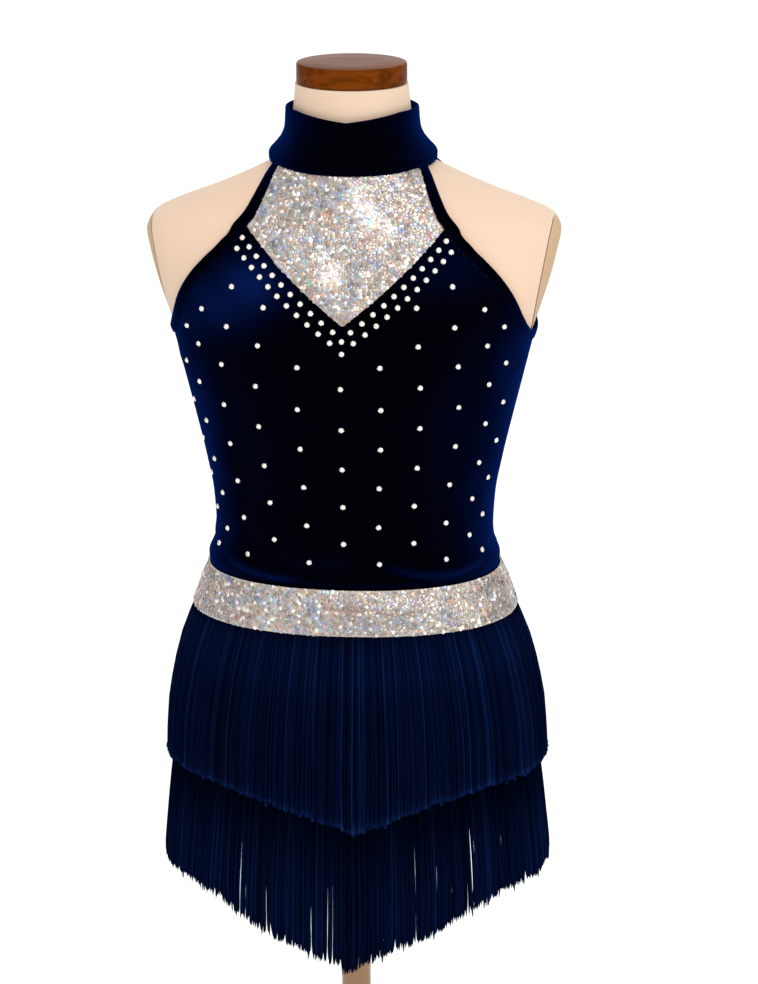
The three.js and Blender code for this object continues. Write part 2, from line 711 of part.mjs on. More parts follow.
// One tier: a ring of heading tape with its locks drawn down from the tape's lower face.
function makeFringe(name, tier, seed) {
  const inner = VELVET_OUTER + SEAM;
  const outer = inner + HEADER;
  const { angles, length } = evenAngles(tier.locks, tier.tapeBottom, outer);
  const gapShare = LOCK.gap / (length / tier.locks);
  const points = [];
  const faces = [];
  const add = (point) => points.push(point) - 1;
  const tape = [];
  for (let i = 0; i < tier.locks; i++) {
    const start = angles[i];
    const end = THREE.MathUtils.lerp(angles[i], angles[i + 1], 1 - gapShare);
    tape.push({
      start,
      end,
      top: [inner, outer].map((reach) => add(onFringe(start, tier.tapeTop, reach))),
      root: [
        add(onFringe(start, tier.tapeBottom, outer)),
        add(onFringe(end, tier.tapeBottom, outer)),
        add(onFringe((start + end) / 2, tier.tapeBottom, inner)),
      ],
    });
  }
  for (let i = 0; i < tier.locks; i++) {
    const here = tape[i];
    const next = tape[(i + 1) % tier.locks];
    const [rootStart, rootEnd, rootBack] = here.root;
    faces.push(...quad(here.top[0], here.top[1], next.top[1], next.top[0]));
    faces.push([rootStart, rootEnd, here.top[1]], [rootEnd, next.top[1], here.top[1]]);
    faces.push([rootEnd, next.root[0], next.top[1]]);
    faces.push([here.top[0], next.top[0], rootBack], [rootBack, next.top[0], next.root[2]]);
    faces.push(...quad(rootEnd, rootBack, next.root[2], next.root[0]));
    // A lock has three sides: two corners on its outer face and one behind.
    const width = here.end - here.start;
    const middle = (here.start + here.end) / 2;
    const hem = hemAt(tier, middle) + 5 * uneven(i, seed);
    const rings = [...tier.face, { z: hem, reach: tier.hemReach - 1.2 * uneven(i, seed + 2) }];
    let above = here.root;
    rings.forEach(({ z, reach }, level) => {
      const tip = level === rings.length - 1;
      const narrow = width * (tip ? 0.16 : 0.04);
      const sway = tip ? width * 0.1 * (uneven(i, seed + 1) - 0.5) : 0;
      const ring = [
        add(onFringe(here.start + narrow + sway, z, reach)),
        add(onFringe(here.end - narrow + sway, z, reach)),
        add(onFringe(middle + sway, z, reach - LOCK.thickness)),
      ];
      for (let k = 0; k < 3; k++) {
        const m = (k + 1) % 3;
        faces.push(...quad(above[m], above[k], ring[k], ring[m]));
      }
      above = ring;
    });
    faces.push([above[2], above[1], above[0]]);
  }
  piece(name, solid(points, faces), chainette);
}

makeForm();
makeStand();
makeSkirtBase();
makeFront();
makeBack();
makeInset();
makeBindings();
makeCollar();
makeBelt();
makeFringe("fringe_upper", UPPER_FRINGE, 1);
makeFringe("fringe_lower", LOWER_FRINGE, 5);

export default dress;
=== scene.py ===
"""A halter dance dress with two tiers of fringe, dressed on a limbless form with a round stand.

Tables and shape functions are in millimetres; Blender's objects are in metres.
"""

import math

import bmesh
import bpy
import numpy as np
from mathutils import Matrix, Vector


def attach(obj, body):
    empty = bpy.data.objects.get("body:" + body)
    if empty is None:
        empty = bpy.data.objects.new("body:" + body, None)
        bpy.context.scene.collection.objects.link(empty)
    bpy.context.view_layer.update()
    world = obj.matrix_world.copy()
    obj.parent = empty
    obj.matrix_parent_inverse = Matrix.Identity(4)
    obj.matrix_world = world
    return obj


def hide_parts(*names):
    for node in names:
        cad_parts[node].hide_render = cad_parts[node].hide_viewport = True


bl_info = {
    "name": "Fringe dance dress",
    "version": (1, 0, 0),
    "blender": (4, 5, 0),
    "location": "View3D > Sidebar > Dance dress",
    "description": "Builds a velvet, sequin and fringe dance dress on its form",
    "category": "Add Mesh",
}

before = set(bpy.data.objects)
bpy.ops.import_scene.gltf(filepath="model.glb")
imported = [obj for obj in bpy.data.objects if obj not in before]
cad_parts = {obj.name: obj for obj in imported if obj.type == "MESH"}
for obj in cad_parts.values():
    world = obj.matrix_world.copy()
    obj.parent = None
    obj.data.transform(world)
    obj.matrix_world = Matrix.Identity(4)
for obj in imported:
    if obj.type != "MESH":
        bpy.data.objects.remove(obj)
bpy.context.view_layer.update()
MM = 0.001
BODY = "root"

# ---------------------------------------------------------------- the form's and the dress's sizes, in mm
EASE = 1.35  # air between the form and the cloth on it
CLOTH = 1.35  # velvet's thickness
OUTSIDE = EASE + CLOTH
SEAM = 0.3  # the gap that pieces keep at a seam
SIDE_GAP, BACK_GAP, COLLAR_GAP = 0.08, 0.02, 0.25  # half a seam's gap, in degrees
NECK_TOP = 922.7
CAP_RADIUS, CAP_HEIGHT, CAP_EDGE = 43, 16, 1.6  # the cap's edges are rounded off
AXIS = 0.01  # the smallest radius of a turned piece
POLE_RADIUS, POLE_FOOT, POLE_TOP = 12, 12, 372
BASE_RADIUS, BASE_RIM, BASE_CROWN = 172, 7, 12
SOCKET_RADIUS, SOCKET_TOP = 21, 46
WAIST, HIP, SKIRT_FOOT = 519, 388, 380
BELT_FOOT, BELT_TOP, BELT_FLARE, BELT_CLOTH = 498, 533.8, 516, 1.4  # the belt flares out below BELT_FLARE
BELT_OFF = (0.5, 2.7)  # the belt's distance from the bodice, at its top and at its foot
BELT_WAVE = {"height": 0.35, "count": 5, "turn": 20}  # its unevenness round the waist
BINDING, BINDING_CLOTH = 8, 2.6  # a binding's width, and its thickness where it is folded
INSET_TIP, INSET_CORNER, INSET_REACH = 746.8, 818.5, 77  # the V's tip and corners, and half its width
INSET_BOW = (1.08, 0.22)  # how hollow the V's edges are, at the tip and more towards the corners
INSET_CLOTH = 1.2
INSET_RISE = {"height": 0.9, "below": 6, "top": 836}  # the inset lifts towards the collar, from below its corners
INSET_SEQUINS, BELT_SEQUINS = 1.45, 1.65  # how far out the sequins are sewn
COLLAR_FOOT, COLLAR_TOP, COLLAR_CLOTH = 858, 905, 2.6
NOTCH, NOTCH_SPAN = 6, 52  # the notch in the collar's top edge: its depth, and half its width in degrees
ARM_PLATE = {"reach": 150, "height": 780, "lean": 10.5, "gap": 0.25}
TAPE = {"above": 2.0, "below": 7.0, "top": 1.2, "foot": 1.6}  # the fringe's heading tape and its thickness
HEM_TURN = 1  # degrees round from the middle to the points of the fringe's hems

# Sections of the form: height, half width, depth in front, depth behind, the widest line's y, squareness.
FORM = (
    (350, 118, 82, 88, 4, 2.1),
    (356, 130, 93, 99, 4, 2.15),
    (368, 137.5, 100, 106, 4, 2.2),
    (388, 140, 102, 108, 4, 2.2),
    (412, 139.7, 102, 107, 4, 2.2),
    (440, 137, 99.8, 102.5, 4, 2.2),
    (472, 131.7, 95, 94.5, 3.5, 2.2),
    (500, 123.8, 89.5, 85.5, 3, 2.2),
    (520, 117, 85.5, 79.5, 2.5, 2.2),
    (540, 112, 82.3, 75.5, 2, 2.2),
    (565, 108.4, 80, 72.5, 2, 2.2),
    (592, 109.9, 80.5, 73, 2, 2.2),
    (624, 115.7, 83.3, 76.5, 2.5, 2.2),
    (657, 123.4, 86.6, 81.2, 3, 2.2),
    (690, 131.5, 89.5, 85, 3, 2.25),
    (722, 139.3, 90.5, 88.5, 3.5, 2.35),
    (748, 147.8, 89, 90, 4, 2.55),
    (772, 155.2, 84.5, 89.5, 4, 2.75),
    (792, 160, 78, 86, 4, 2.9),
    (806, 162.6, 72.5, 82, 4, 2.9),
    (816, 158.6, 68.5, 78, 3.5, 2.8),
    (825, 142, 65, 74, 3, 2.6),
    (834, 119, 62, 70, 2.5, 2.4),
    (844, 95.5, 59, 65.5, 2, 2.25),
    (853, 77, 56.5, 60.5, 1, 2.1),
    (861, 62.5, 54, 54.5, 0, 2),
    (869, 53, 50.5, 49.5, -1.5, 2),
    (880, 48.8, 47.2, 46.6, -3.5, 2),
    (897, 46.4, 45.2, 45.2, -6.5, 2),
    (NECK_TOP, 43.8, 43.8, 43.8, -9.5, 2),
)

# The armhole's edge from the collar to under the arm: step, angle from the middle of the front, angle from the
# middle of the back, height.
ARMHOLE = (
    (0, 68, 60, 861.5),
    (1, 55.7, 52.1, 854.2),
    (2, 45.1, 43.9, 845.5),
    (3, 37.3, 36.7, 835.6),
    (4, 32.2, 32.1, 825.2),
    (5, 31, 31, 815),
    (6, 33.4, 33.4, 804.7),
    (7, 37.5, 37.5, 794.7),
    (8, 42, 42, 784.4),
    (9, 47.1, 47.1, 773.1),
    (10, 52.4, 52.4, 761.4),
    (11, 58.1, 58.1, 750.1),
    (12, 64.7, 64.7, 740.6),
    (13, 72.5, 72.5, 733.9),
    (14, 81.2, 81.2, 731),
    (15, 90, 90, 729.5),
)

# The collar's outer face: height, half width, front, back, widest line's y.
COLLAR = (
    (858, 65.8, 60.7, 60.8, -0.5),
    (864, 66, 61, 61.1, -1),
    (871, 61.2, 57.8, 57.6, -1.8),
    (879, 55.8, 54.2, 53.8, -3),
    (888, 53, 52.2, 51.8, -4.4),
    (905, 51.9, 51.6, 51.2, -6.8),
)

# How far the bodice rolls out over the belt: height, lift.
WAIST_ROLL = ((500, 0), (535.7, 0), (538.2, 2), (542.2, 2.8), (548.2, 1.7), (556.2, 0.4), (568.2, 0), (960, 0))

# Soft creases of the bodice, each from a start to an end, sagging by bend: angle, height, angle, height, bend,
# width, height of the ridge (below 0 for a trough). Angles are round the body from the front.
BODICE_CREASES = (
    (-58, 551, -12, 541, -4, 2.6, 1.5),
    (-50, 543, -4, 538, -2, 1.8, -0.8),
    (12, 556, 70, 553, -11, 3, 1.1),
    (18, 545, 60, 544, -6, 2.4, -0.7),
    (-88, 570, -62, 552, -3, 4, 1),
    (-80, 560, -56, 545, -2, 2.6, -0.6),
    (66, 558, 90, 574, -3, 4, 0.9),
    (-30, 559, 6, 556, -3, 4.5, 0.2),
    (-44, 792, -66, 742, 4, 9, 0.8),
    (-36, 776, -58, 722, 5, 8, -0.5),
    (44, 790, 64, 744, -4, 9, 0.7),
    (-82, 712, -58, 688, 3, 7, 0.7),
    (82, 714, 60, 686, 3, 7, 0.7),
    (-74, 640, -40, 604, 6, 12, 0.6),
    (76, 636, 44, 606, 6, 12, 0.6),
    (-20, 672, 24, 664, 5, 14, 0.35),
    (98, 552, 150, 542, -5, 3, 1.5),
    (104, 544, 156, 537.5, -3, 2, -0.7),
    (172, 556, 118, 562, -6, 4.5, 0.8),
    (-100, 554, -152, 543, -5, 3.2, 1.4),
    (-106, 545, -158, 538, -3, 2, -0.7),
    (-174, 562, -120, 568, -6, 5, 0.7),
    (106, 716, 132, 690, 3, 7, 0.8),
    (-104, 714, -134, 692, 3, 7, 0.8),
    (150, 800, 128, 752, 4, 9, 0.6),
    (-148, 802, -126, 750, 4, 9, 0.6),
    (112, 640, 150, 606, 6, 12, 0.5),
    (-110, 642, -152, 604, 6, 12, 0.5),
)

# Painted sheen on the velvet's pile, with painted shade where the amount is below 0: angle, height, how wide, how tall,
# how much.
PAINTED_SHEEN = (
    (-25, 778, 16, 18, 0.42),
    (-36, 756, 18, 18, 0.36),
    (-50, 738, 18, 18, 0.12),
    (-48, 640, 22, 90, -0.06),
    (-52, 560, 24, 24, -0.04),
    (28, 790, 22, 20, 0.08),
    (60, 704, 14, 26, 0.08),
    (38, 672, 14, 60, 0.03),
    (-66, 640, 12, 40, 0.03),
    (52, 612, 14, 20, 0.06),
    (152, 776, 22, 24, 0.22),
    (132, 740, 24, 26, 0.12),
    (-152, 786, 20, 18, 0.1),
    (-122, 700, 26, 42, 0.08),
    (170, 660, 18, 50, 0.04),
    (-150, 596, 28, 20, 0.05),
    (146, 590, 26, 18, 0.05),
)

# Painted highlights on the sequins' colour, with painted shade where the amount is below 0, in the same columns.
SEQUIN_LIGHT = (
    (6, 836, 7, 14, 1.1),
    (10, 820, 6, 13, 0.8),
    (-3.5, 784, 7, 9, 1.1),
    (-6, 800, 4, 5, 0.5),
    (-15, 835, 9, 12, -0.22),
    (1.5, 805, 6, 10, -0.1),
    (0, 796, 70, 56, -0.11),
    (-25, 516, 18, 16, 0.15),
    (-54, 514, 22, 16, 0.06),
    (5, 512, 24, 18, -0.25),
    (20, 512, 14, 18, -0.15),
    (46, 512, 20, 14, 0.1),
    (150, 514, 24, 16, 0.15),
    (-140, 514, 24, 16, 0.12),
    (178, 514, 18, 16, -0.15),
)

# The collar's own creases, in the same columns.
COLLAR_CREASES = (
    (26, 872, 84, 866, -3, 3.4, 1.1),
    (34, 880, 78, 886, 3, 4.5, 0.7),
    (-34, 866, -84, 870, -2, 3.2, 1.0),
    (-44, 878, -80, 888, 3, 4, 0.6),
    (-18, 868, 20, 866, -2, 4, 0.45),
    (112, 868, 158, 872, -3, 3.6, 0.9),
    (-112, 872, -156, 868, -3, 3.6, 0.9),
    (130, 888, 172, 882, 3, 5, 0.5),
)

# Tiers of fringe. A hem row is an angle from the nearer point, in front or behind, and a height; a face row is a
# height and the strands' reach beyond the form's section; a shade row is a share of the way down and a brightness
# painted into the strands' colour: painted shade under the belt and, on the lower tier, under the upper tier, and
# painted highlights below the belt and at the hem's knots; a tip row is a share of the way down and a strand's girth.
# Ragged and longer are how uneven the ends are, gather is how far a lock draws together, aside is how far the points
# lie to one side, and sway is in mm.
TIERS = {
    "upper": {
        "top": 507,
        "hem": ((0, 340.5), (6, 346.5), (14, 354), (28, 364.5), (38, 370), (47, 373.5), (90, 374.5)),
        "face": ((340, 16.6), (390, 14.6), (426, 12.6), (472, 8.8), (500, 5.2), (509, 4.2)),
        "shade": (
            (0, 0.2),
            (0.07, 0.3),
            (0.1, 1.0),
            (0.2, 1.25),
            (0.42, 0.8),
            (0.8, 0.8),
            (0.96, 1.0),
            (0.98, 1.8),
            (1, 1.8),
        ),
        "ragged": 1.0,
        "longer": 1.0,
        "gather": (0.0, 0.14),
        "tip": ((0, 0.9), (0.1, 1), (0.968, 0.95), (0.982, 1.75), (0.993, 1.5), (1, 0.5)),
        "aside": 3.5,
        "sway": 1.2,
        "seed": 11,
    },
    "lower": {
        "top": 402,
        "hem": ((0, 222.5), (6, 232), (15, 243.5), (23, 251), (33, 265), (43, 275.5), (57, 283), (90, 284)),
        "face": ((222, 19.3), (280, 18.4), (330, 14), (364, 10), (393, 5.6), (404, 4.4)),
        "shade": ((0, 0.2), (0.3, 0.25), (0.5, 0.6), (0.75, 0.9), (1, 1.0)),
        "ragged": 2.2,
        "longer": 1.6,
        "gather": (0.0, 0.46),
        "tip": ((0, 0.9), (0.1, 1), (0.93, 1), (0.97, 0.8), (0.99, 0.5), (1, 0.2)),
        "aside": 0.5,
        "sway": 0.75,
        "seed": 23,
    },
}

# Crystals. Those beside the V: rows out from its edge, and how many there are on each side.
V_ROWS = (
    {"out": 7.7, "first": 10.2, "pitch": 11.45, "closer": 0.15, "count": 11},
    {"out": 15.9, "first": 12.6, "pitch": 11.5, "closer": 0.14, "count": 11},
)
V_STONES = (-0.5, 11.8, 21.4)  # the stones under the V's tip: x, and how far under it
# The scattered ones: heights of the even and the odd columns.
EVEN_ROWS = (570.8, 601.3, 632.3, 664.8, 697.8, 730.5, 760.2, 791, 821)
ODD_ROWS = (554.8, 584.8, 616.8, 648.5, 681, 714.5, 746, 777, 808)
# At a height, the step from column to column and how far the cloth is turned on the form.
COLUMN_STEP = (
    (555, 27.7, 0),
    (585, 28.3, 2),
    (617, 29.6, 3),
    (649, 31.4, 3.8),
    (690, 32.5, 4.6),
    (715, 32.1, 4.8),
    (745, 30.4, 3.3),
    (776, 29, 1.7),
)
# The outer columns stand closer together and lower, and the columns climb a little towards the wearer's left.
COLUMNS = {"closer": (0.0013, 3.3), "turned": (0.3, 0.35), "climb": 0.5, "lower": 1.7, "level": (575, 80)}
CRYSTALS_TOP, BELOW_V, BELOW_ARMHOLE = 838, 690, 722  # heights
V_CLEARANCE, EDGE_CLEARANCE = 29, 6.5  # from the V's edge, and from an armhole's binding
ARMHOLE_MIDDLE = (90, 795)  # angle and height

STITCHING = {"inwards": 6.6, "lift": 2.15, "spacing": 3.2}  # the stitches along an armhole's binding

# How the strands of a tier hang.
LAYERS = {"count": 3, "apart": 1.5, "turned": 0.37}  # turned by a share of the strands' pitch
LOCKS = {"width": (2.2, 6.5), "start": (0.8, 0.92), "drawn": 0.55, "least": 0.03, "uneven": 0.8}  # width in degrees
STRAYS = {"share": 0.012, "reach": 4}
# How uneven single strands are: in angle, at their ends, and in their way sideways and inwards. Some are longer.
UNEVEN = {"angle": 0.12, "end": 0.7, "aside": 0.5, "wave": 0.25, "depth": 0.35, "long": 0.16, "longest": 5}
RIGHT_INWARDS = 2  # how much closer in the strands' ends hang on the wearer's right side
STRAND_STEPS = np.concatenate([np.linspace(0, 0.8, 7), [0.86, 0.91, 0.94, 0.968, 0.982, 0.993, 1]])
HANGING = 12  # how far beyond the form the strands are spaced out evenly

# How strongly painted highlights are laid along the velvet's crease ridges, and up to what height.
CREASE_LIGHT, CREASES_LIT = 0.17, WAIST + 60


# ---------------------------------------------------------------- curves and surfaces
def through(rows, column):
    """A smooth function through a table's column that doesn't overshoot its rows."""
    x = np.array([row[0] for row in rows], float)
    y = np.array([row[column] for row in rows], float)
    slope = np.diff(y) / np.diff(x)
    tangent = np.concatenate([slope[:1], np.zeros(len(x) - 2), slope[-1:]])
    same = slope[:-1] * slope[1:] > 0
    both = np.where(same, slope[:-1] + slope[1:], 1)
    tangent[1:-1] = np.where(same, 2 * slope[:-1] * slope[1:] / both, 0)

    def at(value):
        value = np.clip(value, x[0], x[-1])
        i = np.clip(np.searchsorted(x, value) - 1, 0, len(x) - 2)
        width = x[i + 1] - x[i]
        t = (value - x[i]) / width
        bend = t * (1 - t) ** 2 * tangent[i] + t * t * (t - 1) * tangent[i + 1]
        return y[i] + (y[i + 1] - y[i]) * t * t * (3 - 2 * t) + width * bend

    return at


form_half, form_front, form_back, form_middle, form_square = (through(FORM, k) for k in range(1, 6))
collar_half, collar_front, collar_back, collar_middle = (through(COLLAR, k) for k in range(1, 5))
armhole_front, armhole_back, armhole_height = (through(ARMHOLE, k) for k in range(1, 4))
waist_roll = through(WAIST_ROLL, 1)


def blend(a, b, t):
    return a + (b - a) * t


def ease(t):
    t = np.clip(t, 0, 1)
    return t * t * (3 - 2 * t)


def on_section(angle, z, half, front, back, middle, square):
    """Points on a section, at angles from the front that grow towards +X."""
    s, c = np.sin(np.radians(angle)), np.cos(np.radians(angle))
    swell = (np.abs(s) ** square + np.abs(c) ** square) ** (-1 / square)
    depth = np.where(c > 0, front, back)
    return np.stack(np.broadcast_arrays(half * s * swell, middle - depth * c * swell, z), -1)


def on_form(angle, z, grow=0.0):
    return on_section(
        angle, z, form_half(z) + grow, form_front(z) + grow, form_back(z) + grow, form_middle(z), form_square(z)
    )


def slopes(angle, z):
    """Steps over the form: round it for one degree, and up it for one millimetre."""
    return (
        on_form(angle + 0.5, z) - on_form(angle - 0.5, z),
        on_form(angle, z + 0.5) - on_form(angle, z - 0.5),
    )


def unit(v):
    return v / np.linalg.norm(v, axis=-1, keepdims=True)


def outward(angle, z):
    return unit(np.cross(*slopes(angle, z)))


def on_cloth(angle, z, lift):
    angle, z = np.broadcast_arrays(np.asarray(angle, float), np.asarray(z, float))
    return on_form(angle, z) + outward(angle, z) * np.asarray(lift, float)[..., None]


DEGREE = 2.05  # mm round the body for one degree, near enough for a crease


def creased(table, angle, z):
    """The lift of a table's creases at points of the cloth."""
    angle = (np.asarray(angle, float) + 180) % 360 - 180
    lift = np.zeros(np.broadcast(angle, z).shape)
    for a0, z0, a1, z1, bend, width, height in table:
        start, end = np.array((a0 * DEGREE, z0)), np.array((a1 * DEGREE, z1))
        along = end - start
        length = np.hypot(*along)
        along = along / length
        x, y = angle * DEGREE - start[0], z - start[1]
        t = (x * along[0] + y * along[1]) / length
        upright = along if along[0] > 0 else -along
        off = y * upright[0] - x * upright[1] - bend * 4 * t * (1 - t)
        taper = ease(t / 0.3) * ease((1 - t) / 0.3) * ((t > 0) & (t < 1))
        lift += height * taper * np.exp(-((off / width) ** 2))
    return lift


def on_bodice(angle, z, lift):
    roll = waist_roll(z) * (1 + 0.25 * np.sin(np.radians(angle * 3 + 40)))
    return on_cloth(angle, z, lift + roll + creased(BODICE_CREASES, angle, z))


def angle_at(x, z, lift):
    """The angle where the form's section, grown by a lift, is x to the side."""
    square = form_square(z)
    share = np.clip(np.abs(x) / (form_half(z) + lift), 1e-6, 1)
    cotangent = np.maximum(share**-square - 1, 0) ** (1 / square)
    return np.sign(x) * np.degrees(np.arctan2(1, cotangent))


def armhole_edge(share):
    """0 and 1 are at the collar, in front and behind, and 0.5 is under the arm."""
    share = np.asarray(share, float)
    step = np.where(share <= 0.5, share, 1 - share) * 2 * (len(ARMHOLE) - 1)
    return np.where(share <= 0.5, armhole_front(step), 180 - armhole_back(step)), armhole_height(step)


def inside_armhole(share, distance):
    """The armhole's edge moved into the panels, as angles and heights."""
    share = np.asarray(share, float)
    angle, z = armhole_edge(share)
    before, after = armhole_edge(np.clip(share - 0.004, 0, 1)), armhole_edge(np.clip(share + 0.004, 0, 1))
    along = unit(on_form(*after) - on_form(*before))
    inward = -np.cross(outward(angle, z), along)
    round_, up = slopes(angle, z)
    rr, uu, ru = ((a * b).sum(-1) for a, b in ((round_, round_), (up, up), (round_, up)))
    r, u = (inward * round_).sum(-1), (inward * up).sum(-1)
    scale = distance / (rr * uu - ru * ru)
    return angle + (r * uu - u * ru) * scale, z + (u * rr - r * ru) * scale


def inset_edge(x):
    share = np.abs(x) / INSET_REACH
    return INSET_TIP + (INSET_CORNER - INSET_TIP) * share ** (INSET_BOW[0] + INSET_BOW[1] * share)


def corner_share():
    """Where the binding's inner edge passes the inset's corner."""
    low, high = 0.02, 0.4
    for _ in range(40):
        middle = (low + high) / 2
        angle, z = inside_armhole(middle, BINDING + SEAM)
        above = z > inset_edge(on_cloth(angle, z, OUTSIDE)[..., 0])
        low, high = (middle, high) if above else (low, middle)
    return low


CORNER = corner_share()


def collar_foot(angle):
    return COLLAR_FOOT + 4 * (1 - np.cos(np.radians(angle)))


# ---------------------------------------------------------------- meshes
def mesh_from(name, points, faces, sharp=None):
    """A smooth mesh from points in mm, with edges past the angle sharp."""
    mesh = bpy.data.meshes.new(name)
    mesh.from_pydata((np.asarray(points).reshape(-1, 3) * MM).tolist(), [], faces)
    mesh.update()
    mesh.shade_smooth()
    if sharp is not None:
        mesh.set_sharp_from_angle(angle=math.radians(sharp))
    return mesh


def grid_faces(columns, rows, closed=False, first=0):
    wide = columns if closed else columns + 1
    return [
        (
            first + j * wide + i,
            first + j * wide + (i + 1) % wide,
            first + (j + 1) * wide + (i + 1) % wide,
            first + (j + 1) * wide + i,
        )
        for j in range(rows)
        for i in range(columns)
    ]


def wall(name, outer, inner, closed=False):
    """A closed sheet between two grids of points, [row, column]."""
    rows, wide = outer.shape[0] - 1, outer.shape[1]
    columns = wide if closed else wide - 1
    count = outer.shape[0] * wide
    faces = grid_faces(columns, rows, closed)
    faces += [tuple(count + k for k in reversed(face)) for face in grid_faces(columns, rows, closed)]

    def rim(line):
        return [(a, a + count, b + count, b) for a, b in zip(line, line[1:])]

    foot = [i % wide for i in range(columns + 1)]
    faces += rim(foot) + rim([rows * wide + i for i in foot][::-1])
    if not closed:
        faces += rim([j * wide for j in range(rows, -1, -1)]) + rim([j * wide + wide - 1 for j in range(rows + 1)])
    return mesh_from(name, np.concatenate([outer.reshape(-1, 3), inner.reshape(-1, 3)]), faces, sharp=50)


def sweep(name, rings, closed=False, sharp=None):
    """A solid skinned over rings of points, [ring, point]."""
    count, around = rings.shape[:2]
    faces = grid_faces(around, count - 1, closed=True)
    if closed:
        last = (count - 1) * around
        faces += [(last + i, last + (i + 1) % around, (i + 1) % around, i) for i in range(around)]
    else:
        faces += [tuple(range(around - 1, -1, -1)), tuple(range((count - 1) * around, count * around))]
    mesh = mesh_from(name, rings, faces, sharp=sharp)
    edit = bmesh.new()
    edit.from_mesh(mesh)
    bmesh.ops.recalc_face_normals(edit, faces=edit.faces)
    edit.to_mesh(mesh)
    edit.free()
    if sharp is not None:
        mesh.set_sharp_from_angle(angle=math.radians(sharp))
    return mesh


def turned(name, profile, sides, y=0.0, sharp=30):
    """A turned piece about a vertical line, from (radius, height) points on its axis at both ends."""
    angles = np.radians(np.arange(sides) * 360 / sides)
    rings = [
        np.stack([r * np.sin(angles), y - r * np.cos(angles), np.full(sides, float(z))], -1) for r, z in profile
    ]
    return sweep(name, np.array(rings), sharp=sharp)


def piece(name, mesh, material, slot, *nodes):
    """Adds a piece to the scene, on the part's one body, in place of the named CAD nodes."""
    obj = bpy.data.objects.new(name, mesh)
    bpy.context.scene.collection.objects.link(obj)
    mesh.materials.clear()
    mesh.materials.append(material)
    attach(obj, BODY)
    if nodes:
        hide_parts(*nodes)
    return obj


def patches(mesh, name, table, creases=0.0):
    """Notes a table's soft patches on a mesh's points: painted sheen and shade on the velvet, or painted highlights and
    shade on the sequin foil.
    """
    points = np.empty(len(mesh.vertices) * 3)
    mesh.vertices.foreach_get("co", points)
    x, y, z = points.reshape(-1, 3).T / MM
    ahead = form_middle(z) - y
    depth = np.where(ahead > 0, form_front(z), form_back(z))
    angle = np.degrees(np.arctan2(x / form_half(z), ahead / depth))
    lit = np.zeros(len(z))
    for at, height, wide, tall, amount in table:
        aside = ((angle - at + 180) % 360 - 180) * DEGREE
        lit += amount * np.exp(-((aside / wide) ** 2) - ((z - height) / tall) ** 2)
    # Painted highlights along the ridges of the bodice's creases, below CREASES_LIT.
    lit += creases * np.clip(creased(BODICE_CREASES, angle, z), 0, 2) * (z < CREASES_LIT)
    mesh.attributes.new(name, "FLOAT", "POINT").data.foreach_set("value", lit)
    return mesh


# ---------------------------------------------------------------- node trees
class Tree:
    """A node tree with short ways to add nodes and join them."""

    def __init__(self, tree):
        self.tree = tree
        self.nodes = tree.nodes
        self.links = tree.links

    def add(self, kind, settings=(), **values):
        node = self.nodes.new(kind)
        for key, value in dict(settings).items():
            setattr(node, key, value)
        for key, value in values.items():
            self.join(value, node.inputs[key.replace("_", " ")])
        return node

    def join(self, value, socket):
        if isinstance(value, bpy.types.NodeSocket):
            self.links.new(value, socket)
        elif isinstance(value, bpy.types.Node):
            self.links.new(value.outputs[0], socket)
        else:
            socket.default_value = value

    def place(self):
        return self.add("ShaderNodeTexCoord").outputs["Object"]

    def noted(self, name):
        """A number that the mesh's points or faces hold, in a material."""
        return self.add("ShaderNodeAttribute", {"attribute_name": name}).outputs["Fac"]

    def named(self, name, kind="FLOAT"):
        """A number or vector that the points hold, in a geometry tree."""
        return self.add("GeometryNodeInputNamedAttribute", {"data_type": kind}, Name=name).outputs[0]

    def chance(self, low, high, seed):
        node = self.add("FunctionNodeRandomValue", {"data_type": "FLOAT_VECTOR"}, Seed=seed)
        node.inputs[0].default_value, node.inputs[1].default_value = low, high
        return node.outputs[0]

    def scale(self, vector, factor):
        node = self.add("ShaderNodeVectorMath", {"operation": "SCALE"})
        self.join(vector, node.inputs[0])
        self.join(factor, node.inputs["Scale"])
        return node.outputs[0]

    def turn(self, rotation, by):
        node = self.add("FunctionNodeRotateRotation", {"rotation_space": "LOCAL"}, Rotation=rotation)
        self.join(by, node.inputs["Rotate By"])
        return node.outputs[0]

    def group(self, name, make, **values):
        return self.add("ShaderNodeGroup", {"node_tree": group_once(name, make)}, **values)

    def sum(self, operation, a, b, kind="ShaderNodeMath"):
        node = self.nodes.new(kind)
        node.operation = operation
        self.join(a, node.inputs[0])
        self.join(b, node.inputs[1])
        return node.outputs[0]

    def mix(self, factor, a, b, mode="MIX"):
        node = self.add("ShaderNodeMix", {"data_type": "RGBA", "blend_type": mode})
        self.join(factor, node.inputs[0])
        self.join(a, node.inputs[6])
        self.join(b, node.inputs[7])
        return node.outputs[2]

    def ramp(self, factor, stops, constant=False):
        node = self.add("ShaderNodeValToRGB", Fac=factor)
        ramp = node.color_ramp
        ramp.interpolation = "CONSTANT" if constant else "LINEAR"
        while len(ramp.elements) < len(stops):
            ramp.elements.new(0.5)
        for element, (at, colour) in zip(ramp.elements, stops):
            element.position = at
            element.color = (*colour, 1)
        return node.outputs[0]


def geometry_tree(name, sockets):
    """A Geometry Nodes tree with named inputs. sockets: name, socket type, default."""
    tree = bpy.data.node_groups.new(name, "GeometryNodeTree")
    tree.interface.new_socket("Geometry", in_out="INPUT", socket_type="NodeSocketGeometry")
    tree.interface.new_socket("Geometry", in_out="OUTPUT", socket_type="NodeSocketGeometry")
    for label, kind, default in sockets:
        socket = tree.interface.new_socket(label, in_out="INPUT", socket_type=kind)
        if default is not None:
            socket.default_value = default
    work = Tree(tree)
    return work, work.add("NodeGroupInput"), work.add("NodeGroupOutput")


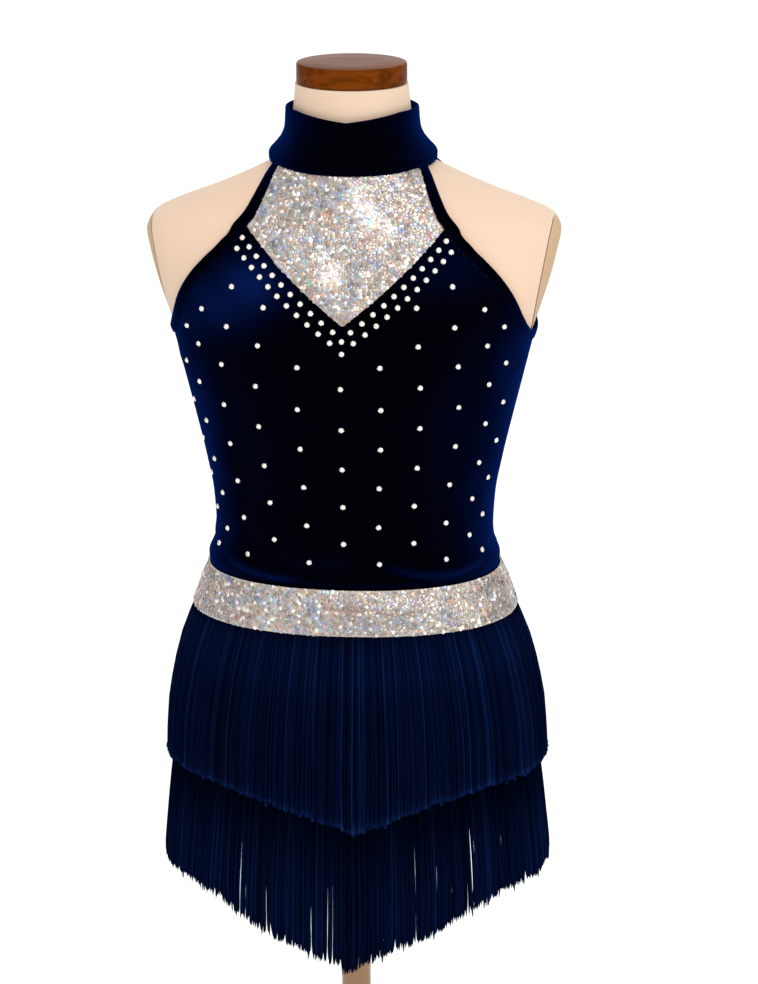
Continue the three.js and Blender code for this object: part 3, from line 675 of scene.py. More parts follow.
def end_tree(work, geometry, given, out, smooth=True):
    """Ends a tree in Realize Instances, shading and Set Material."""
    real = work.add("GeometryNodeRealizeInstances", Geometry=geometry)
    shade = work.add("GeometryNodeSetShadeSmooth", Geometry=real, Shade_Smooth=smooth)
    done = work.add("GeometryNodeSetMaterial", Geometry=shade, Material=given.outputs["Material"])
    work.links.new(done.outputs[0], out.inputs[0])


def grown(name, source, tree, values):
    """The mesh that a Geometry Nodes tree makes of a source mesh."""
    obj = bpy.data.objects.new(name, source)
    bpy.context.scene.collection.objects.link(obj)
    modifier = obj.modifiers.new("grow", "NODES")
    modifier.node_group = tree
    for item in tree.interface.items_tree:
        if item.in_out == "INPUT" and item.name in values:
            modifier[item.identifier] = values[item.name]
    obj.update_tag()
    bpy.context.view_layer.update()
    made = bpy.data.meshes.new_from_object(obj.evaluated_get(bpy.context.evaluated_depsgraph_get()))
    obj.modifiers.clear()
    bpy.data.objects.remove(obj)
    made.name = name
    return made


def sequin_tree():
    """Cupped sequins, sewn close together over a surface."""
    work, given, out = geometry_tree(
        "sewn_sequins",
        (
            ("Spacing", "NodeSocketFloat", 0.0019),
            ("Radius", "NodeSocketFloat", 0.0016),
            ("Tilt", "NodeSocketFloat", 0.3),
            ("Seed", "NodeSocketInt", 3),
            ("Material", "NodeSocketMaterial", None),
        ),
    )
    spots = work.add(
        "GeometryNodeDistributePointsOnFaces",
        {"distribute_method": "POISSON"},
        Mesh=given.outputs["Geometry"],
        Distance_Min=given.outputs["Spacing"],
        Density_Max=2.0e6,
        Seed=given.outputs["Seed"],
    )
    cup = work.add(
        "GeometryNodeMeshCone",
        {"fill_type": "NONE"},
        Vertices=8,
        Radius_Top=0.00012,
        Radius_Bottom=given.outputs["Radius"],
        Depth=0.00022,
    )
    lean = work.chance((-1, -1, -3), (1, 1, 3), given.outputs["Seed"])
    wave = work.add("ShaderNodeTexNoise", Scale=90.0, Detail=1.0)
    swell = work.sum("SUBTRACT", wave.outputs["Color"], (0.5, 0.5, 0.5), "ShaderNodeVectorMath")
    swell = work.sum("MULTIPLY", swell, (3.2, 3.2, 0), "ShaderNodeVectorMath")
    both = work.sum("ADD", lean, swell, "ShaderNodeVectorMath")
    turn = work.turn(spots.outputs["Rotation"], work.scale(both, given.outputs["Tilt"]))
    size = work.add("FunctionNodeRandomValue", {"data_type": "FLOAT"}, Seed=7)
    size.inputs[2].default_value, size.inputs[3].default_value = 0.86, 1.12
    sewn = work.add(
        "GeometryNodeInstanceOnPoints",
        Points=spots.outputs["Points"],
        Instance=cup.outputs["Mesh"],
        Rotation=turn,
    )
    work.join(size.outputs[1], sewn.inputs["Scale"])
    tone = work.add("FunctionNodeRandomValue", {"data_type": "FLOAT"}, Seed=19)
    kept = work.add(
        "GeometryNodeStoreNamedAttribute", {"data_type": "FLOAT", "domain": "INSTANCE"}, Geometry=sewn, Name="tone"
    )
    work.join(tone.outputs[1], kept.inputs["Value"])
    end_tree(work, kept, given, out, smooth=False)
    return work.tree


def placed_tree():
    """A small thing set on each point, its Z along the point's facing and its X along the point's heading."""
    work, given, out = geometry_tree(
        "placed_on_points",
        (
            ("Thing", "NodeSocketObject", None),
            ("Size", "NodeSocketFloat", 1.0),
            ("Uneven", "NodeSocketFloat", 0.0),
            ("Seed", "NodeSocketInt", 5),
            ("Material", "NodeSocketMaterial", None),
        ),
    )
    turn = work.add("FunctionNodeAxesToRotation", {"primary_axis": "Z", "secondary_axis": "X"})
    work.join(work.named("facing", "FLOAT_VECTOR"), turn.inputs[0])
    work.join(work.named("heading", "FLOAT_VECTOR"), turn.inputs[1])
    jog = work.chance((-0.5, -0.5, -1.5), (0.5, 0.5, 1.5), given.outputs["Seed"])
    rocked = work.turn(turn, work.scale(jog, given.outputs["Uneven"]))
    thing = work.add("GeometryNodeObjectInfo", Object=given.outputs["Thing"])
    set_on = work.add(
        "GeometryNodeInstanceOnPoints",
        Points=given.outputs["Geometry"],
        Instance=thing.outputs["Geometry"],
        Rotation=rocked,
        Scale=given.outputs["Size"],
    )
    end_tree(work, set_on, given, out, smooth=False)
    return work.tree


def strand_tree():
    """Round strands along chains of edges, thicker by the points' own girth."""
    work, given, out = geometry_tree(
        "hanging_strands",
        (
            ("Radius", "NodeSocketFloat", 0.00095),
            ("Sides", "NodeSocketInt", 4),
            ("Sway", "NodeSocketFloat", 0.0005),
            ("Material", "NodeSocketMaterial", None),
        ),
    )
    place = work.add("GeometryNodeInputPosition")
    apart = work.add("ShaderNodeCombineXYZ", X=work.sum("MULTIPLY", work.named("strand"), 3.7))
    at = work.sum("ADD", place, apart, "ShaderNodeVectorMath")
    drift = work.add("ShaderNodeTexNoise", Vector=at, Scale=22.0, Detail=1.0)
    swing = work.sum("SUBTRACT", drift.outputs["Color"], (0.5, 0.5, 0.5), "ShaderNodeVectorMath")
    amount = work.sum("MULTIPLY", work.named("free"), given.outputs["Sway"])
    offset = work.scale(swing, amount)
    moved = work.add("GeometryNodeSetPosition", Geometry=given.outputs["Geometry"], Offset=offset)
    chains = work.add("GeometryNodeMeshToCurve", Mesh=moved)
    ring = work.add(
        "GeometryNodeCurvePrimitiveCircle", Resolution=given.outputs["Sides"], Radius=given.outputs["Radius"]
    )
    tube = work.add(
        "GeometryNodeCurveToMesh", Curve=chains, Profile_Curve=ring, Scale=work.named("girth"), Fill_Caps=True
    )
    end_tree(work, tube, given, out)
    return work.tree


def shade_group(name, sockets, outputs):
    """A shader node group. sockets: name, type, default; outputs: name, type."""
    tree = bpy.data.node_groups.new(name, "ShaderNodeTree")
    for label, kind, default in sockets:
        tree.interface.new_socket(label, in_out="INPUT", socket_type=kind).default_value = default
    for label, kind in outputs:
        tree.interface.new_socket(label, in_out="OUTPUT", socket_type=kind)
    work = Tree(tree)
    return work, work.add("NodeGroupInput").outputs, work.add("NodeGroupOutput").inputs


def fibre_group():
    """Uneven tone and fine bumps of a cloth's fibres, at a stated fineness."""
    work, given, out = shade_group(
        "fibre_tone",
        (
            ("Colour", "NodeSocketColor", (0.5, 0.5, 0.5, 1)),
            ("Worn Colour", "NodeSocketColor", (0.6, 0.6, 0.6, 1)),
            ("Patches", "NodeSocketFloat", 14.0),
            ("Fineness", "NodeSocketFloat", 900.0),
        ),
        (("Colour", "NodeSocketColor"), ("Height", "NodeSocketFloat")),
    )
    place = work.place()
    patch = work.add("ShaderNodeTexNoise", Vector=place, Scale=given["Patches"], Detail=3.0)
    fine = work.add("ShaderNodeTexNoise", Vector=place, Scale=given["Fineness"], Detail=2.0)
    spread = work.ramp(patch.outputs[0], ((0.35, BLACK), (0.7, WHITE)))
    work.join(work.mix(spread, given["Colour"], given["Worn Colour"]), out["Colour"])
    work.join(fine.outputs[0], out["Height"])
    return work.tree


def weave_group():
    """The crossed threads of a plain weave, from object coordinates."""
    work, given, out = shade_group(
        "plain_weave", (("Threads", "NodeSocketFloat", 1400.0),), (("Height", "NodeSocketFloat"),)
    )
    place = work.place()
    across = work.add("ShaderNodeTexWave", {"bands_direction": "X"}, Vector=place, Scale=given["Threads"])
    across.inputs["Distortion"].default_value = 1.5
    up = work.add("ShaderNodeTexWave", {"bands_direction": "Z"}, Vector=place, Scale=given["Threads"])
    up.inputs["Distortion"].default_value = 1.5
    work.join(work.sum("MAXIMUM", across.outputs["Fac"], up.outputs["Fac"]), out["Height"])
    return work.tree


def wood_group():
    """Fine straight grain."""
    work, given, out = shade_group(
        "wood_grain",
        (("Colour", "NodeSocketColor", (0.3, 0.1, 0.03, 1)), ("Dark Colour", "NodeSocketColor", (0.1, 0.03, 0.01, 1))),
        (("Colour", "NodeSocketColor"), ("Height", "NodeSocketFloat")),
    )
    place = work.place()
    drawn = work.add("ShaderNodeMapping", Vector=place)
    drawn.inputs["Scale"].default_value = (12, 160, 160)
    grain = work.add("ShaderNodeTexNoise", Vector=drawn, Scale=1.0, Detail=5.0, Distortion=0.6)
    spread = work.ramp(grain.outputs[0], ((0.38, BLACK), (0.62, WHITE)))
    work.join(work.mix(spread, given["Dark Colour"], given["Colour"]), out["Colour"])
    work.join(grain.outputs[0], out["Height"])
    return work.tree


def group_once(name, make):
    return bpy.data.node_groups.get(name) or make()


def surface(name, **sockets):
    """A new material, its Principled sockets set, and its tree."""
    material = bpy.data.materials.new(name)
    material.use_nodes = True
    work = Tree(material.node_tree)
    shader = material.node_tree.nodes["Principled BSDF"]
    for key, value in sockets.items():
        shader.inputs[key.replace("_", " ")].default_value = value
    return material, work, shader


def bumped(work, shader, height, distance, strength=1.0):
    bump = work.add("ShaderNodeBump", Height=height, Distance=distance, Strength=strength)
    work.join(bump.outputs[0], shader.inputs["Normal"])


def once(name):
    """Makes a finish once, under a name, and gives the same material from then on."""

    def wrap(make):
        return lambda: bpy.data.materials.get(name) or make(name)

    return wrap


def rgba(colour):
    return (*colour[:3], 1)


BLACK, WHITE = (0, 0, 0), (1, 1, 1)


def faded(colour, share, towards=WHITE):
    return tuple(blend(a, b, share) for a, b in zip(colour, towards))


# ---------------------------------------------------------------- finishes
def nap_group():
    """A pile that is dark when faced and bright at a slant."""
    work, given, out = shade_group(
        "velvet_nap",
        (
            ("Colour", "NodeSocketColor", (0, 0, 0, 1)),
            ("Slant Colour", "NodeSocketColor", (0, 0, 1, 1)),
            ("Sharpness", "NodeSocketFloat", 3.0),
            ("Brushed", "NodeSocketFloat", 0.0),
        ),
        (("Colour", "NodeSocketColor"),),
    )
    slant = work.add("ShaderNodeLayerWeight", Blend=0.5).outputs["Facing"]
    # Brushed adds painted sheen on top of the slant, and painted shade where it is below 0.
    spread = work.sum("ADD", work.sum("POWER", slant, given["Sharpness"]), given["Brushed"])
    work.join(work.mix(spread, given["Colour"], given["Slant Colour"]), out["Colour"])
    return work.tree


@once("velvet_pile")
def velvet_finish(name):
    settings = bpy.context.scene.dress_cloth
    material, work, shader = surface(
        name,
        Roughness=0.7,
        Sheen_Weight=settings.velvet_sheen,
        Sheen_Roughness=0.3,
        Sheen_Tint=rgba(settings.velvet_sheen_colour),
        Specular_IOR_Level=0.0,
    )
    fibre = work.group(
        "fibre_tone",
        fibre_group,
        Colour=rgba(settings.velvet_sheen_colour),
        Worn_Colour=rgba(faded(settings.velvet_sheen_colour, 0.45, BLACK)),
        Patches=16,
        Fineness=1500,
    )
    # The nap takes the painted sheen and shade patches that the panels hold.
    nap = work.group(
        "velvet_nap",
        nap_group,
        Colour=rgba(settings.velvet_colour),
        Slant_Colour=fibre.outputs["Colour"],
        Sharpness=2.2,
        Brushed=work.noted("painted_sheen"),
    )
    work.join(nap.outputs["Colour"], shader.inputs["Base Color"])
    bumped(work, shader, fibre.outputs["Height"], 0.0002, 0.35)
    return material


@once("chainette_yarn")
def chainette_finish(name):
    settings = bpy.context.scene.dress_cloth
    material, work, shader = surface(name, Roughness=0.8, Specular_IOR_Level=0.0)
    dark = faded(settings.fringe_colour, 0.55, BLACK)
    mid = tuple(settings.fringe_colour)
    light = tuple(settings.fringe_light_colour)
    tone = work.ramp(work.noted("strand"), ((0.0, dark), (0.45, mid), (0.8, mid), (1.0, light)))
    # The shade attribute paints shade and highlights along each strand into its colour.
    work.join(work.mix(1.0, tone, work.noted("shade"), "MULTIPLY"), shader.inputs["Base Color"])
    place = work.place()
    plait = work.add("ShaderNodeTexWave", {"bands_direction": "Z"}, Vector=place, Scale=330.0, Distortion=2.0)
    bumped(work, shader, plait.outputs["Fac"], 0.0003, 0.6)
    return material


@once("sequin_foil")
def sequin_finish(name):
    material, work, shader = surface(name, Metallic=0.72, Roughness=0.27, Specular_IOR_Level=0.6)
    base = tuple(bpy.context.scene.dress_trim.sequin_colour)
    stops = (
        (0.0, faded(base, 0.45, (0.14, 0.125, 0.12))),
        (0.1, faded(base, 0.3, (0.22, 0.2, 0.21))),
        (0.26, faded(base, 0.3, (0.4, 0.28, 0.18))),
        (0.38, base),
        (0.56, faded(base, 0.3, (0.7, 0.66, 0.6))),
        (0.7, faded(base, 0.6, (0.3, 0.42, 0.66))),
        (0.78, faded(base, 0.45, (0.9, 0.5, 0.3))),
        (0.83, faded(base, 0.5, (0.42, 0.36, 0.6))),
        (0.88, faded(base, 0.7)),
        (0.96, faded(base, 0.5, (0.3, 0.62, 0.58))),
    )
    each = work.ramp(work.noted("tone"), stops, constant=True)
    place = work.place()
    patch = work.add("ShaderNodeTexNoise", Vector=place, Scale=70.0, Detail=1.0)
    hue = work.ramp(
        patch.outputs[0],
        (
            (0.3, (0.55, 0.66, 0.95)),
            (0.42, (1, 0.98, 0.94)),
            (0.52, (1, 0.96, 0.88)),
            (0.62, (1, 0.9, 0.8)),
            (0.7, (1, 0.66, 0.62)),
            (0.78, (0.7, 0.95, 0.85)),
        ),
    )
    # Painted highlights and painted shade from the lit patches brighten or darken the foil's colour.
    lit = work.sum("ADD", work.noted("lit"), 1.0)
    tinted = work.mix(0.72, each, hue, "MULTIPLY")
    work.join(work.mix(1.0, tinted, lit, "MULTIPLY"), shader.inputs["Base Color"])
    return material


def plain_finish(name, colour, **sockets):
    return bpy.data.materials.get(name) or surface(name, Base_Color=rgba(colour), **sockets)[0]


@once("linen_jersey")
def linen_finish(name):
    cover = bpy.context.scene.dress_form.cover_colour
    material, work, shader = surface(name, Roughness=0.85, Sheen_Weight=0.12, Specular_IOR_Level=0.2)
    fibre = work.group(
        "fibre_tone",
        fibre_group,
        Colour=rgba(cover),
        Worn_Colour=rgba(faded(cover, 0.25, (0.9, 0.56, 0.44))),
        Patches=7,
        Fineness=700,
    )
    work.join(fibre.outputs["Colour"], shader.inputs["Base Color"])
    both = work.sum("ADD", work.group("plain_weave", weave_group), fibre.outputs["Height"])
    bumped(work, shader, both, 0.00012, 0.5)
    return material


@once("stained_wood")
def wood_finish(name):
    stain = bpy.context.scene.dress_form.wood_colour
    material, work, shader = surface(name, Roughness=0.4, Coat_Roughness=0.2, Specular_IOR_Level=0.0)
    grain = work.group("wood_grain", wood_group, Colour=rgba(stain), Dark_Colour=rgba(faded(stain, 0.45, BLACK)))
    work.join(grain.outputs["Colour"], shader.inputs["Base Color"])
    slant = work.add("ShaderNodeLayerWeight", Blend=0.5).outputs["Facing"]
    gloss = work.sum("MULTIPLY", work.sum("POWER", slant, 2.0), 0.4)
    work.join(gloss, shader.inputs["Coat Weight"])
    bumped(work, shader, grain.outputs["Height"], 0.0002, 0.3)
    return material


def steel_finish():
    metal = bpy.context.scene.dress_form.metal_colour
    return plain_finish("bronzed_steel", metal, Metallic=1.0, Roughness=0.2)


def sequin_ground():
    return plain_finish("sequin_mesh_cloth", (0.5, 0.44, 0.38), Roughness=0.6)


# ---------------------------------------------------------------- settings
def length(name, description, default):
    return bpy.props.FloatProperty(
        name=name, description=description, default=default, min=0.0, unit="LENGTH", precision=5
    )


def degrees(name, description, default):
    return bpy.props.FloatProperty(
        name=name, description=description, default=math.radians(default), subtype="ANGLE"
    )


def colour(name, description, default):
    return bpy.props.FloatVectorProperty(
        name=name, description=description, default=default, size=3, subtype="COLOR", min=0, max=1
    )


class DressClothSettings(bpy.types.PropertyGroup):
    """Velvet and fringe."""

    velvet_colour: colour("Velvet", "The velvet's ground colour", (0.0002, 0.0003, 0.0014))
    velvet_sheen_colour: colour("Velvet sheen", "What the pile shows at a slant", (0.002, 0.015, 0.12))
    velvet_sheen: bpy.props.FloatProperty(
        name="Sheen", description="How strongly the pile shines", default=0.12, min=0, max=1, subtype="FACTOR"
    )
    fringe_colour: colour("Fringe", "The fringe's colour", (0.0012, 0.0042, 0.023))
    fringe_light_colour: colour("Fringe lights", "The palest strands", (0.0026, 0.0105, 0.05))
    strand_radius: length("Strand radius", "Half a strand's thickness", 0.00098)
    strand_pitch: length("Strand pitch", "From one strand to the next", 0.00165)


class DressTrimSettings(bpy.types.PropertyGroup):
    """Sequins, crystals and stitches."""

    sequin_colour: colour("Sequins", "The foil's own colour", (0.4, 0.36, 0.335))
    sequin_radius: length("Sequin radius", "Half a sequin's width", 0.0016)
    sequin_spacing: length("Sequin spacing", "The least space between sequins", 0.00185)
    crystal_radius: length("Crystal radius", "Half a crystal's width", 0.00235)
    crystal_colour: colour("Crystals", "The crystals' foil colour", (0.8, 0.75, 0.68))
    stitch_length: length("Stitch", "A stitch's length", 0.0024)


class DressFormSettings(bpy.types.PropertyGroup):
    """The form and its stand."""

    cover_colour: colour("Cover", "The jersey's colour", (0.67, 0.51, 0.37))
    wood_colour: colour("Cap", "The neck cap's colour", (0.15, 0.034, 0.003))
    metal_colour: colour("Stand", "The pole's and base's colour", (0.27, 0.165, 0.095))


class DressStageSettings(bpy.types.PropertyGroup):
    """Camera, floor and lights."""

    camera_turn: degrees("Camera turn", "Round the form from its front", 5.9)
    camera_pitch: degrees("Camera pitch", "How far the camera looks down", 15.75)
    camera_roll: degrees("Camera roll", "The camera's turn about its own view", -0.11)
    camera_yaw: degrees("Camera aim", "How far beside the pole the camera aims", 0.4)
    camera_distance: length("Camera distance", "From the pole, over the floor", 2.8)
    camera_height: length("Camera height", "Above the floor", 1.3804)
    camera_lens: bpy.props.FloatProperty(
        name="Lens", description="Focal length in mm on a 36 mm frame", default=132.9, min=10
    )
    floor_colour: colour("Floor", "The floor's colour", (0.97, 0.97, 0.97))


# ---------------------------------------------------------------- bodice
PANEL_EDGE = BINDING + SEAM
ROWS_LOW = np.concatenate([np.arange(WAIST, 575, 2.0), np.arange(575, 694, 4.0), [694.0]])


def panel_wall(name, angle, z):
    """A velvet panel, with painted sheen and shade in patches and painted highlights along the waist's creases."""
    mesh = wall(name, on_bodice(angle, z, OUTSIDE), on_bodice(angle, z, EASE))
    return patches(mesh, "painted_sheen", PAINTED_SHEEN, CREASE_LIGHT)


def front_panel():
    """The velvet front: columns run up from the waist to the armhole's and the V's edge."""
    arm = inside_armhole(np.linspace(0.5, CORNER, 41), PANEL_EDGE)
    reach = on_cloth(arm[0][-1], arm[1][-1], OUTSIDE)[0]
    x = reach * (1 - np.arange(1, 25) / 24)
    z = inset_edge(x) - SEAM
    edge_angle = np.concatenate([np.minimum(arm[0], 90 - SIDE_GAP), angle_at(x, z, OUTSIDE)])
    edge_z = np.concatenate([arm[1], z])
    angle = np.concatenate([-edge_angle, edge_angle[-2::-1]])
    top = np.concatenate([edge_z, edge_z[-2::-1]])
    share = np.linspace(0, 1, 33)[1:, None]
    low = np.broadcast_to(ROWS_LOW[:, None], (len(ROWS_LOW), len(angle)))
    rows = np.concatenate([low, blend(ROWS_LOW[-1], top[None, :], share)])
    return panel_wall("velvet_front", np.broadcast_to(angle, rows.shape), rows)


def back_panel(name, side):
    """One velvet back, from the side seam and the armhole to the centre back."""
    angle, z = inside_armhole(np.linspace(0.5, 1, 61), PANEL_EDGE)
    side_seam = 90 + SIDE_GAP
    edge_angle = np.concatenate([np.full(len(ROWS_LOW), side_seam), np.maximum(angle, side_seam)])[:, None]
    edge_z = np.concatenate([ROWS_LOW, z])[:, None]
    middle_z = edge_z.copy()
    start = len(ROWS_LOW)
    middle_z[start:, 0] = blend(z[0], collar_foot(180) + 3, np.linspace(0, 1, len(z)) ** 1.02)
    share = np.linspace(0, 1, 57)[None, :] ** 1.1
    angles = side * blend(edge_angle, 180 - BACK_GAP, share)
    heights = blend(edge_z, middle_z, share)
    if side > 0:
        return panel_wall(name, angles, heights)
    return panel_wall(name, angles[:, ::-1], heights[:, ::-1])


class DRESS_OT_bodice(bpy.types.Operator):
    """Cut the velvet front and the two backs"""

    bl_idname = "dress.bodice"
    bl_label = "Velvet bodice"

    def execute(self, context):
        velvet = velvet_finish()
        front = piece("velvet_front", front_panel(), velvet, "velvet", "bodice_front")
        for name, side in (("left", 1), ("right", -1)):
            mesh = back_panel(f"velvet_back_{name}", side)
            back = piece(f"velvet_back_{name}", mesh, velvet, "velvet", f"bodice_back_{name}")
        return {"FINISHED"}


class DRESS_OT_bindings(bpy.types.Operator):
    """Fold a velvet strip round each armhole"""

    bl_idname = "dress.bindings"
    bl_label = "Armhole bindings"

    def execute(self, context):
        shares = np.concatenate([np.linspace(0, CORNER, 40, endpoint=False), np.linspace(CORNER, 1, 180)])
        low, high = EASE, EASE + BINDING_CLOTH
        middle, rise = (low + high) / 2, (high - low) / 2
        fold = [(1.2 - 1.2 * math.cos(t), middle + rise * math.sin(t)) for t in np.radians(np.arange(-90, 91, 30))]
        section = [
            *fold,
            (3, high + 0.15),
            (5.5, high + 0.1),
            (6.6, high - 0.5),
            (7.1, high - 0.05),
            (7.7, high - 0.25),
            (BINDING, high - 0.9),
            (BINDING, low),
        ]
        for name, side in (("left", 1), ("right", -1)):
            rings = []
            for distance, lift in section:
                angle, z = inside_armhole(shares, distance)
                rings.append(on_cloth(side * angle, z, lift))
            mesh = sweep(f"binding_{name}", np.stack(rings, 1), sharp=60)
            strip = piece(f"binding_{name}", mesh, velvet_finish(), "velvet", f"armhole_binding_{name}")
        return {"FINISHED"}


# ---------------------------------------------------------------- inset, collar, belt, skirt base
def inset_surface(across, up, lift, inside=0.0):
    """The inset between the V, the bindings and the collar, as a grid that stands off by a lift."""
    u = np.linspace(-1, 1, across + 1)[None, :]
    v = np.linspace(0, 1, up + 1)[:, None]

    def side_at(share):
        angle, z = inside_armhole(CORNER * (1 - share), PANEL_EDGE + inside)
        return on_cloth(angle, z, OUTSIDE)[..., 0], z

    edge_x, edge_z = side_at(v)
    (corner_x, corner_z), (top_x, top_z) = (side_at(np.array(t)) for t in (0.0, 1.0))
    foot_x = corner_x * u
    foot_z = inset_edge(foot_x) + inside
    foot_z += (corner_z - inset_edge(corner_x) - inside) * np.abs(u) ** 8 if inside else 0
    middle = collar_foot(0) + 3
    head_x, head_z = top_x * u, middle + (top_z - middle) * u * u
    x = blend(foot_x, head_x, v) + u * (edge_x - blend(corner_x, top_x, v))
    z = blend(foot_z, head_z, v) + np.abs(u) * (edge_z - blend(corner_z, top_z, v))
    below = INSET_RISE["below"]
    rise = INSET_RISE["height"] * ease((z - (INSET_CORNER - below)) / (INSET_RISE["top"] - INSET_CORNER + below))
    return on_cloth(angle_at(x, z, OUTSIDE), z, lift + rise)


def skin_of(name, points, closed=False):
    rows, wide = points.shape[:2]
    return mesh_from(name, points, grid_faces(wide if closed else wide - 1, rows - 1, closed))


def sewn_sequins(name, skin, seed):
    settings = bpy.context.scene.dress_trim
    patches(skin, "lit", SEQUIN_LIGHT)
    values = {
        "Spacing": settings.sequin_spacing,
        "Radius": settings.sequin_radius,
        "Tilt": 0.2,
        "Seed": seed,
        "Material": sequin_finish(),
    }
    return grown(name, skin, group_once("sewn_sequins", sequin_tree), values)


class DRESS_OT_inset(bpy.types.Operator):
    """Cut the sequin inset and sew its sequins on"""

    bl_idname = "dress.inset"
    bl_label = "Sequin inset"

    def execute(self, context):
        mesh = wall("inset_cloth", inset_surface(60, 50, EASE + INSET_CLOTH), inset_surface(60, 50, EASE))
        cloth = piece("inset_cloth", mesh, sequin_ground(), "sequin_cloth", "neck_inset")
        skin = skin_of("inset_skin", inset_surface(60, 50, EASE + INSET_SEQUINS, inside=0.8))
        sequins = piece("inset_sequins", sewn_sequins("inset_sequins", skin, 4), sequin_finish(), "sequin_cloth")
        return {"FINISHED"}


def on_collar(angle, share, inset):
    """The collar's face from its foot (0) to its top edge (1), pulled in by inset."""
    angle, share = np.broadcast_arrays(np.asarray(angle, float), np.asarray(share, float))
    notch = np.maximum(0, 1 - np.abs(angle) / NOTCH_SPAN) * NOTCH
    z = blend(collar_foot(angle), COLLAR_TOP - notch, share)
    ring = blend(COLLAR_FOOT, COLLAR_TOP, share)
    inset = inset - creased(COLLAR_CREASES, angle, z)
    return on_section(
        angle,
        z,
        collar_half(ring) - inset,
        collar_front(ring) - inset,
        collar_back(ring) - inset,
        collar_middle(ring),
        2.0,
    )


class DRESS_OT_collar(bpy.types.Operator):
    """Fold the mock-neck collar, with its notch in front and its seam behind"""

    bl_idname = "dress.collar"
    bl_label = "Collar"

    def execute(self, context):
        angles = np.linspace(COLLAR_GAP - 180, 180 - COLLAR_GAP, 241)
        thick, half = COLLAR_CLOTH, COLLAR_CLOTH / 2
        foot, fold = 0.03, 0.035  # shares of the height that the rounded foot and top take
        head = 1 - fold
        up = np.linspace(foot, head, 30)
        section = [(share, 0.0) for share in up]
        section += [(head + fold * math.sin(t), half * (1 - math.cos(t))) for t in np.radians((40, 75, 105, 140))]
        section += [(share, thick) for share in up[::-3]]
        section += [(foot - foot * math.sin(t), half * (1 + math.cos(t))) for t in np.radians((40, 90, 140))]
        rings = np.stack([on_collar(angles, share, inset) for share, inset in section], 1)
        mesh = sweep("collar_band", rings, sharp=60)
        band = piece("collar_band", mesh, velvet_finish(), "velvet", "collar")
        return {"FINISHED"}


def on_belt(angle, share, lift):
    z = blend(BELT_FOOT, BELT_TOP, share)
    flared = ease((BELT_TOP - z) / (BELT_TOP - BELT_FLARE))
    ripple = np.sin(np.radians(angle * BELT_WAVE["count"] + BELT_WAVE["turn"]))
    wave = BELT_WAVE["height"] * ripple * share * (1 - share) * 4
    return on_cloth(angle, z, OUTSIDE + blend(*BELT_OFF, flared) + lift + wave)


class DRESS_OT_belt(bpy.types.Operator):
    """Sew the sequin waistband"""

    bl_idname = "dress.belt"
    bl_label = "Waistband"

    def execute(self, context):
        angles = np.arange(0, 360, 2.0)
        up = np.linspace(0.02, 0.98, 12)
        section = [(share, BELT_CLOTH) for share in up] + [(1.0, 0.9), (1.0, 0.5)]
        section += [(share, 0.0) for share in up[::-2]] + [(0.0, 0.5), (0.0, 0.9)]
        rings = np.stack([on_belt(angles, share, lift) for share, lift in section], 1)
        mesh = sweep("belt_band", rings, closed=True, sharp=60)
        band = piece("belt_band", mesh, sequin_ground(), "sequin_cloth", "belt")
        share = np.linspace(0.03, 0.97, 12)[:, None]
        skin = skin_of("belt_skin", on_belt(angles[None, :], share, BELT_SEQUINS), closed=True)
        sequins = piece("belt_sequins", sewn_sequins("belt_sequins", skin, 9), sequin_finish(), "sequin_cloth")
        return {"FINISHED"}


# ---------------------------------------------------------------- fringe
def on_fringe(angle, z, reach):
    """Below the hips the fringe hangs from the widest section."""
    ring = np.maximum(z, HIP)
    points = on_form(angle, ring, reach)
    points[..., 2] = z
    return points


def level_ring(angles, z, reach):
    return on_fringe(angles, np.full(angles.shape, float(z)), np.full(angles.shape, float(reach)))


def way_along(points):
    """The way walked from the first point to each point of a line."""
    return np.concatenate([[0], np.cumsum(np.linalg.norm(np.diff(points, axis=0), axis=1))])


def even_angles(count, z, reach):
    """Angles that divide a ring into equal lengths."""
    fine = np.linspace(0, 360, 1441)
    walked = way_along(level_ring(fine, z, reach))
    return np.interp(np.arange(count) * walked[-1] / count, walked, fine)


def ring_length(z, reach):
    return way_along(level_ring(np.linspace(0, 360, 721), z, reach))[-1]


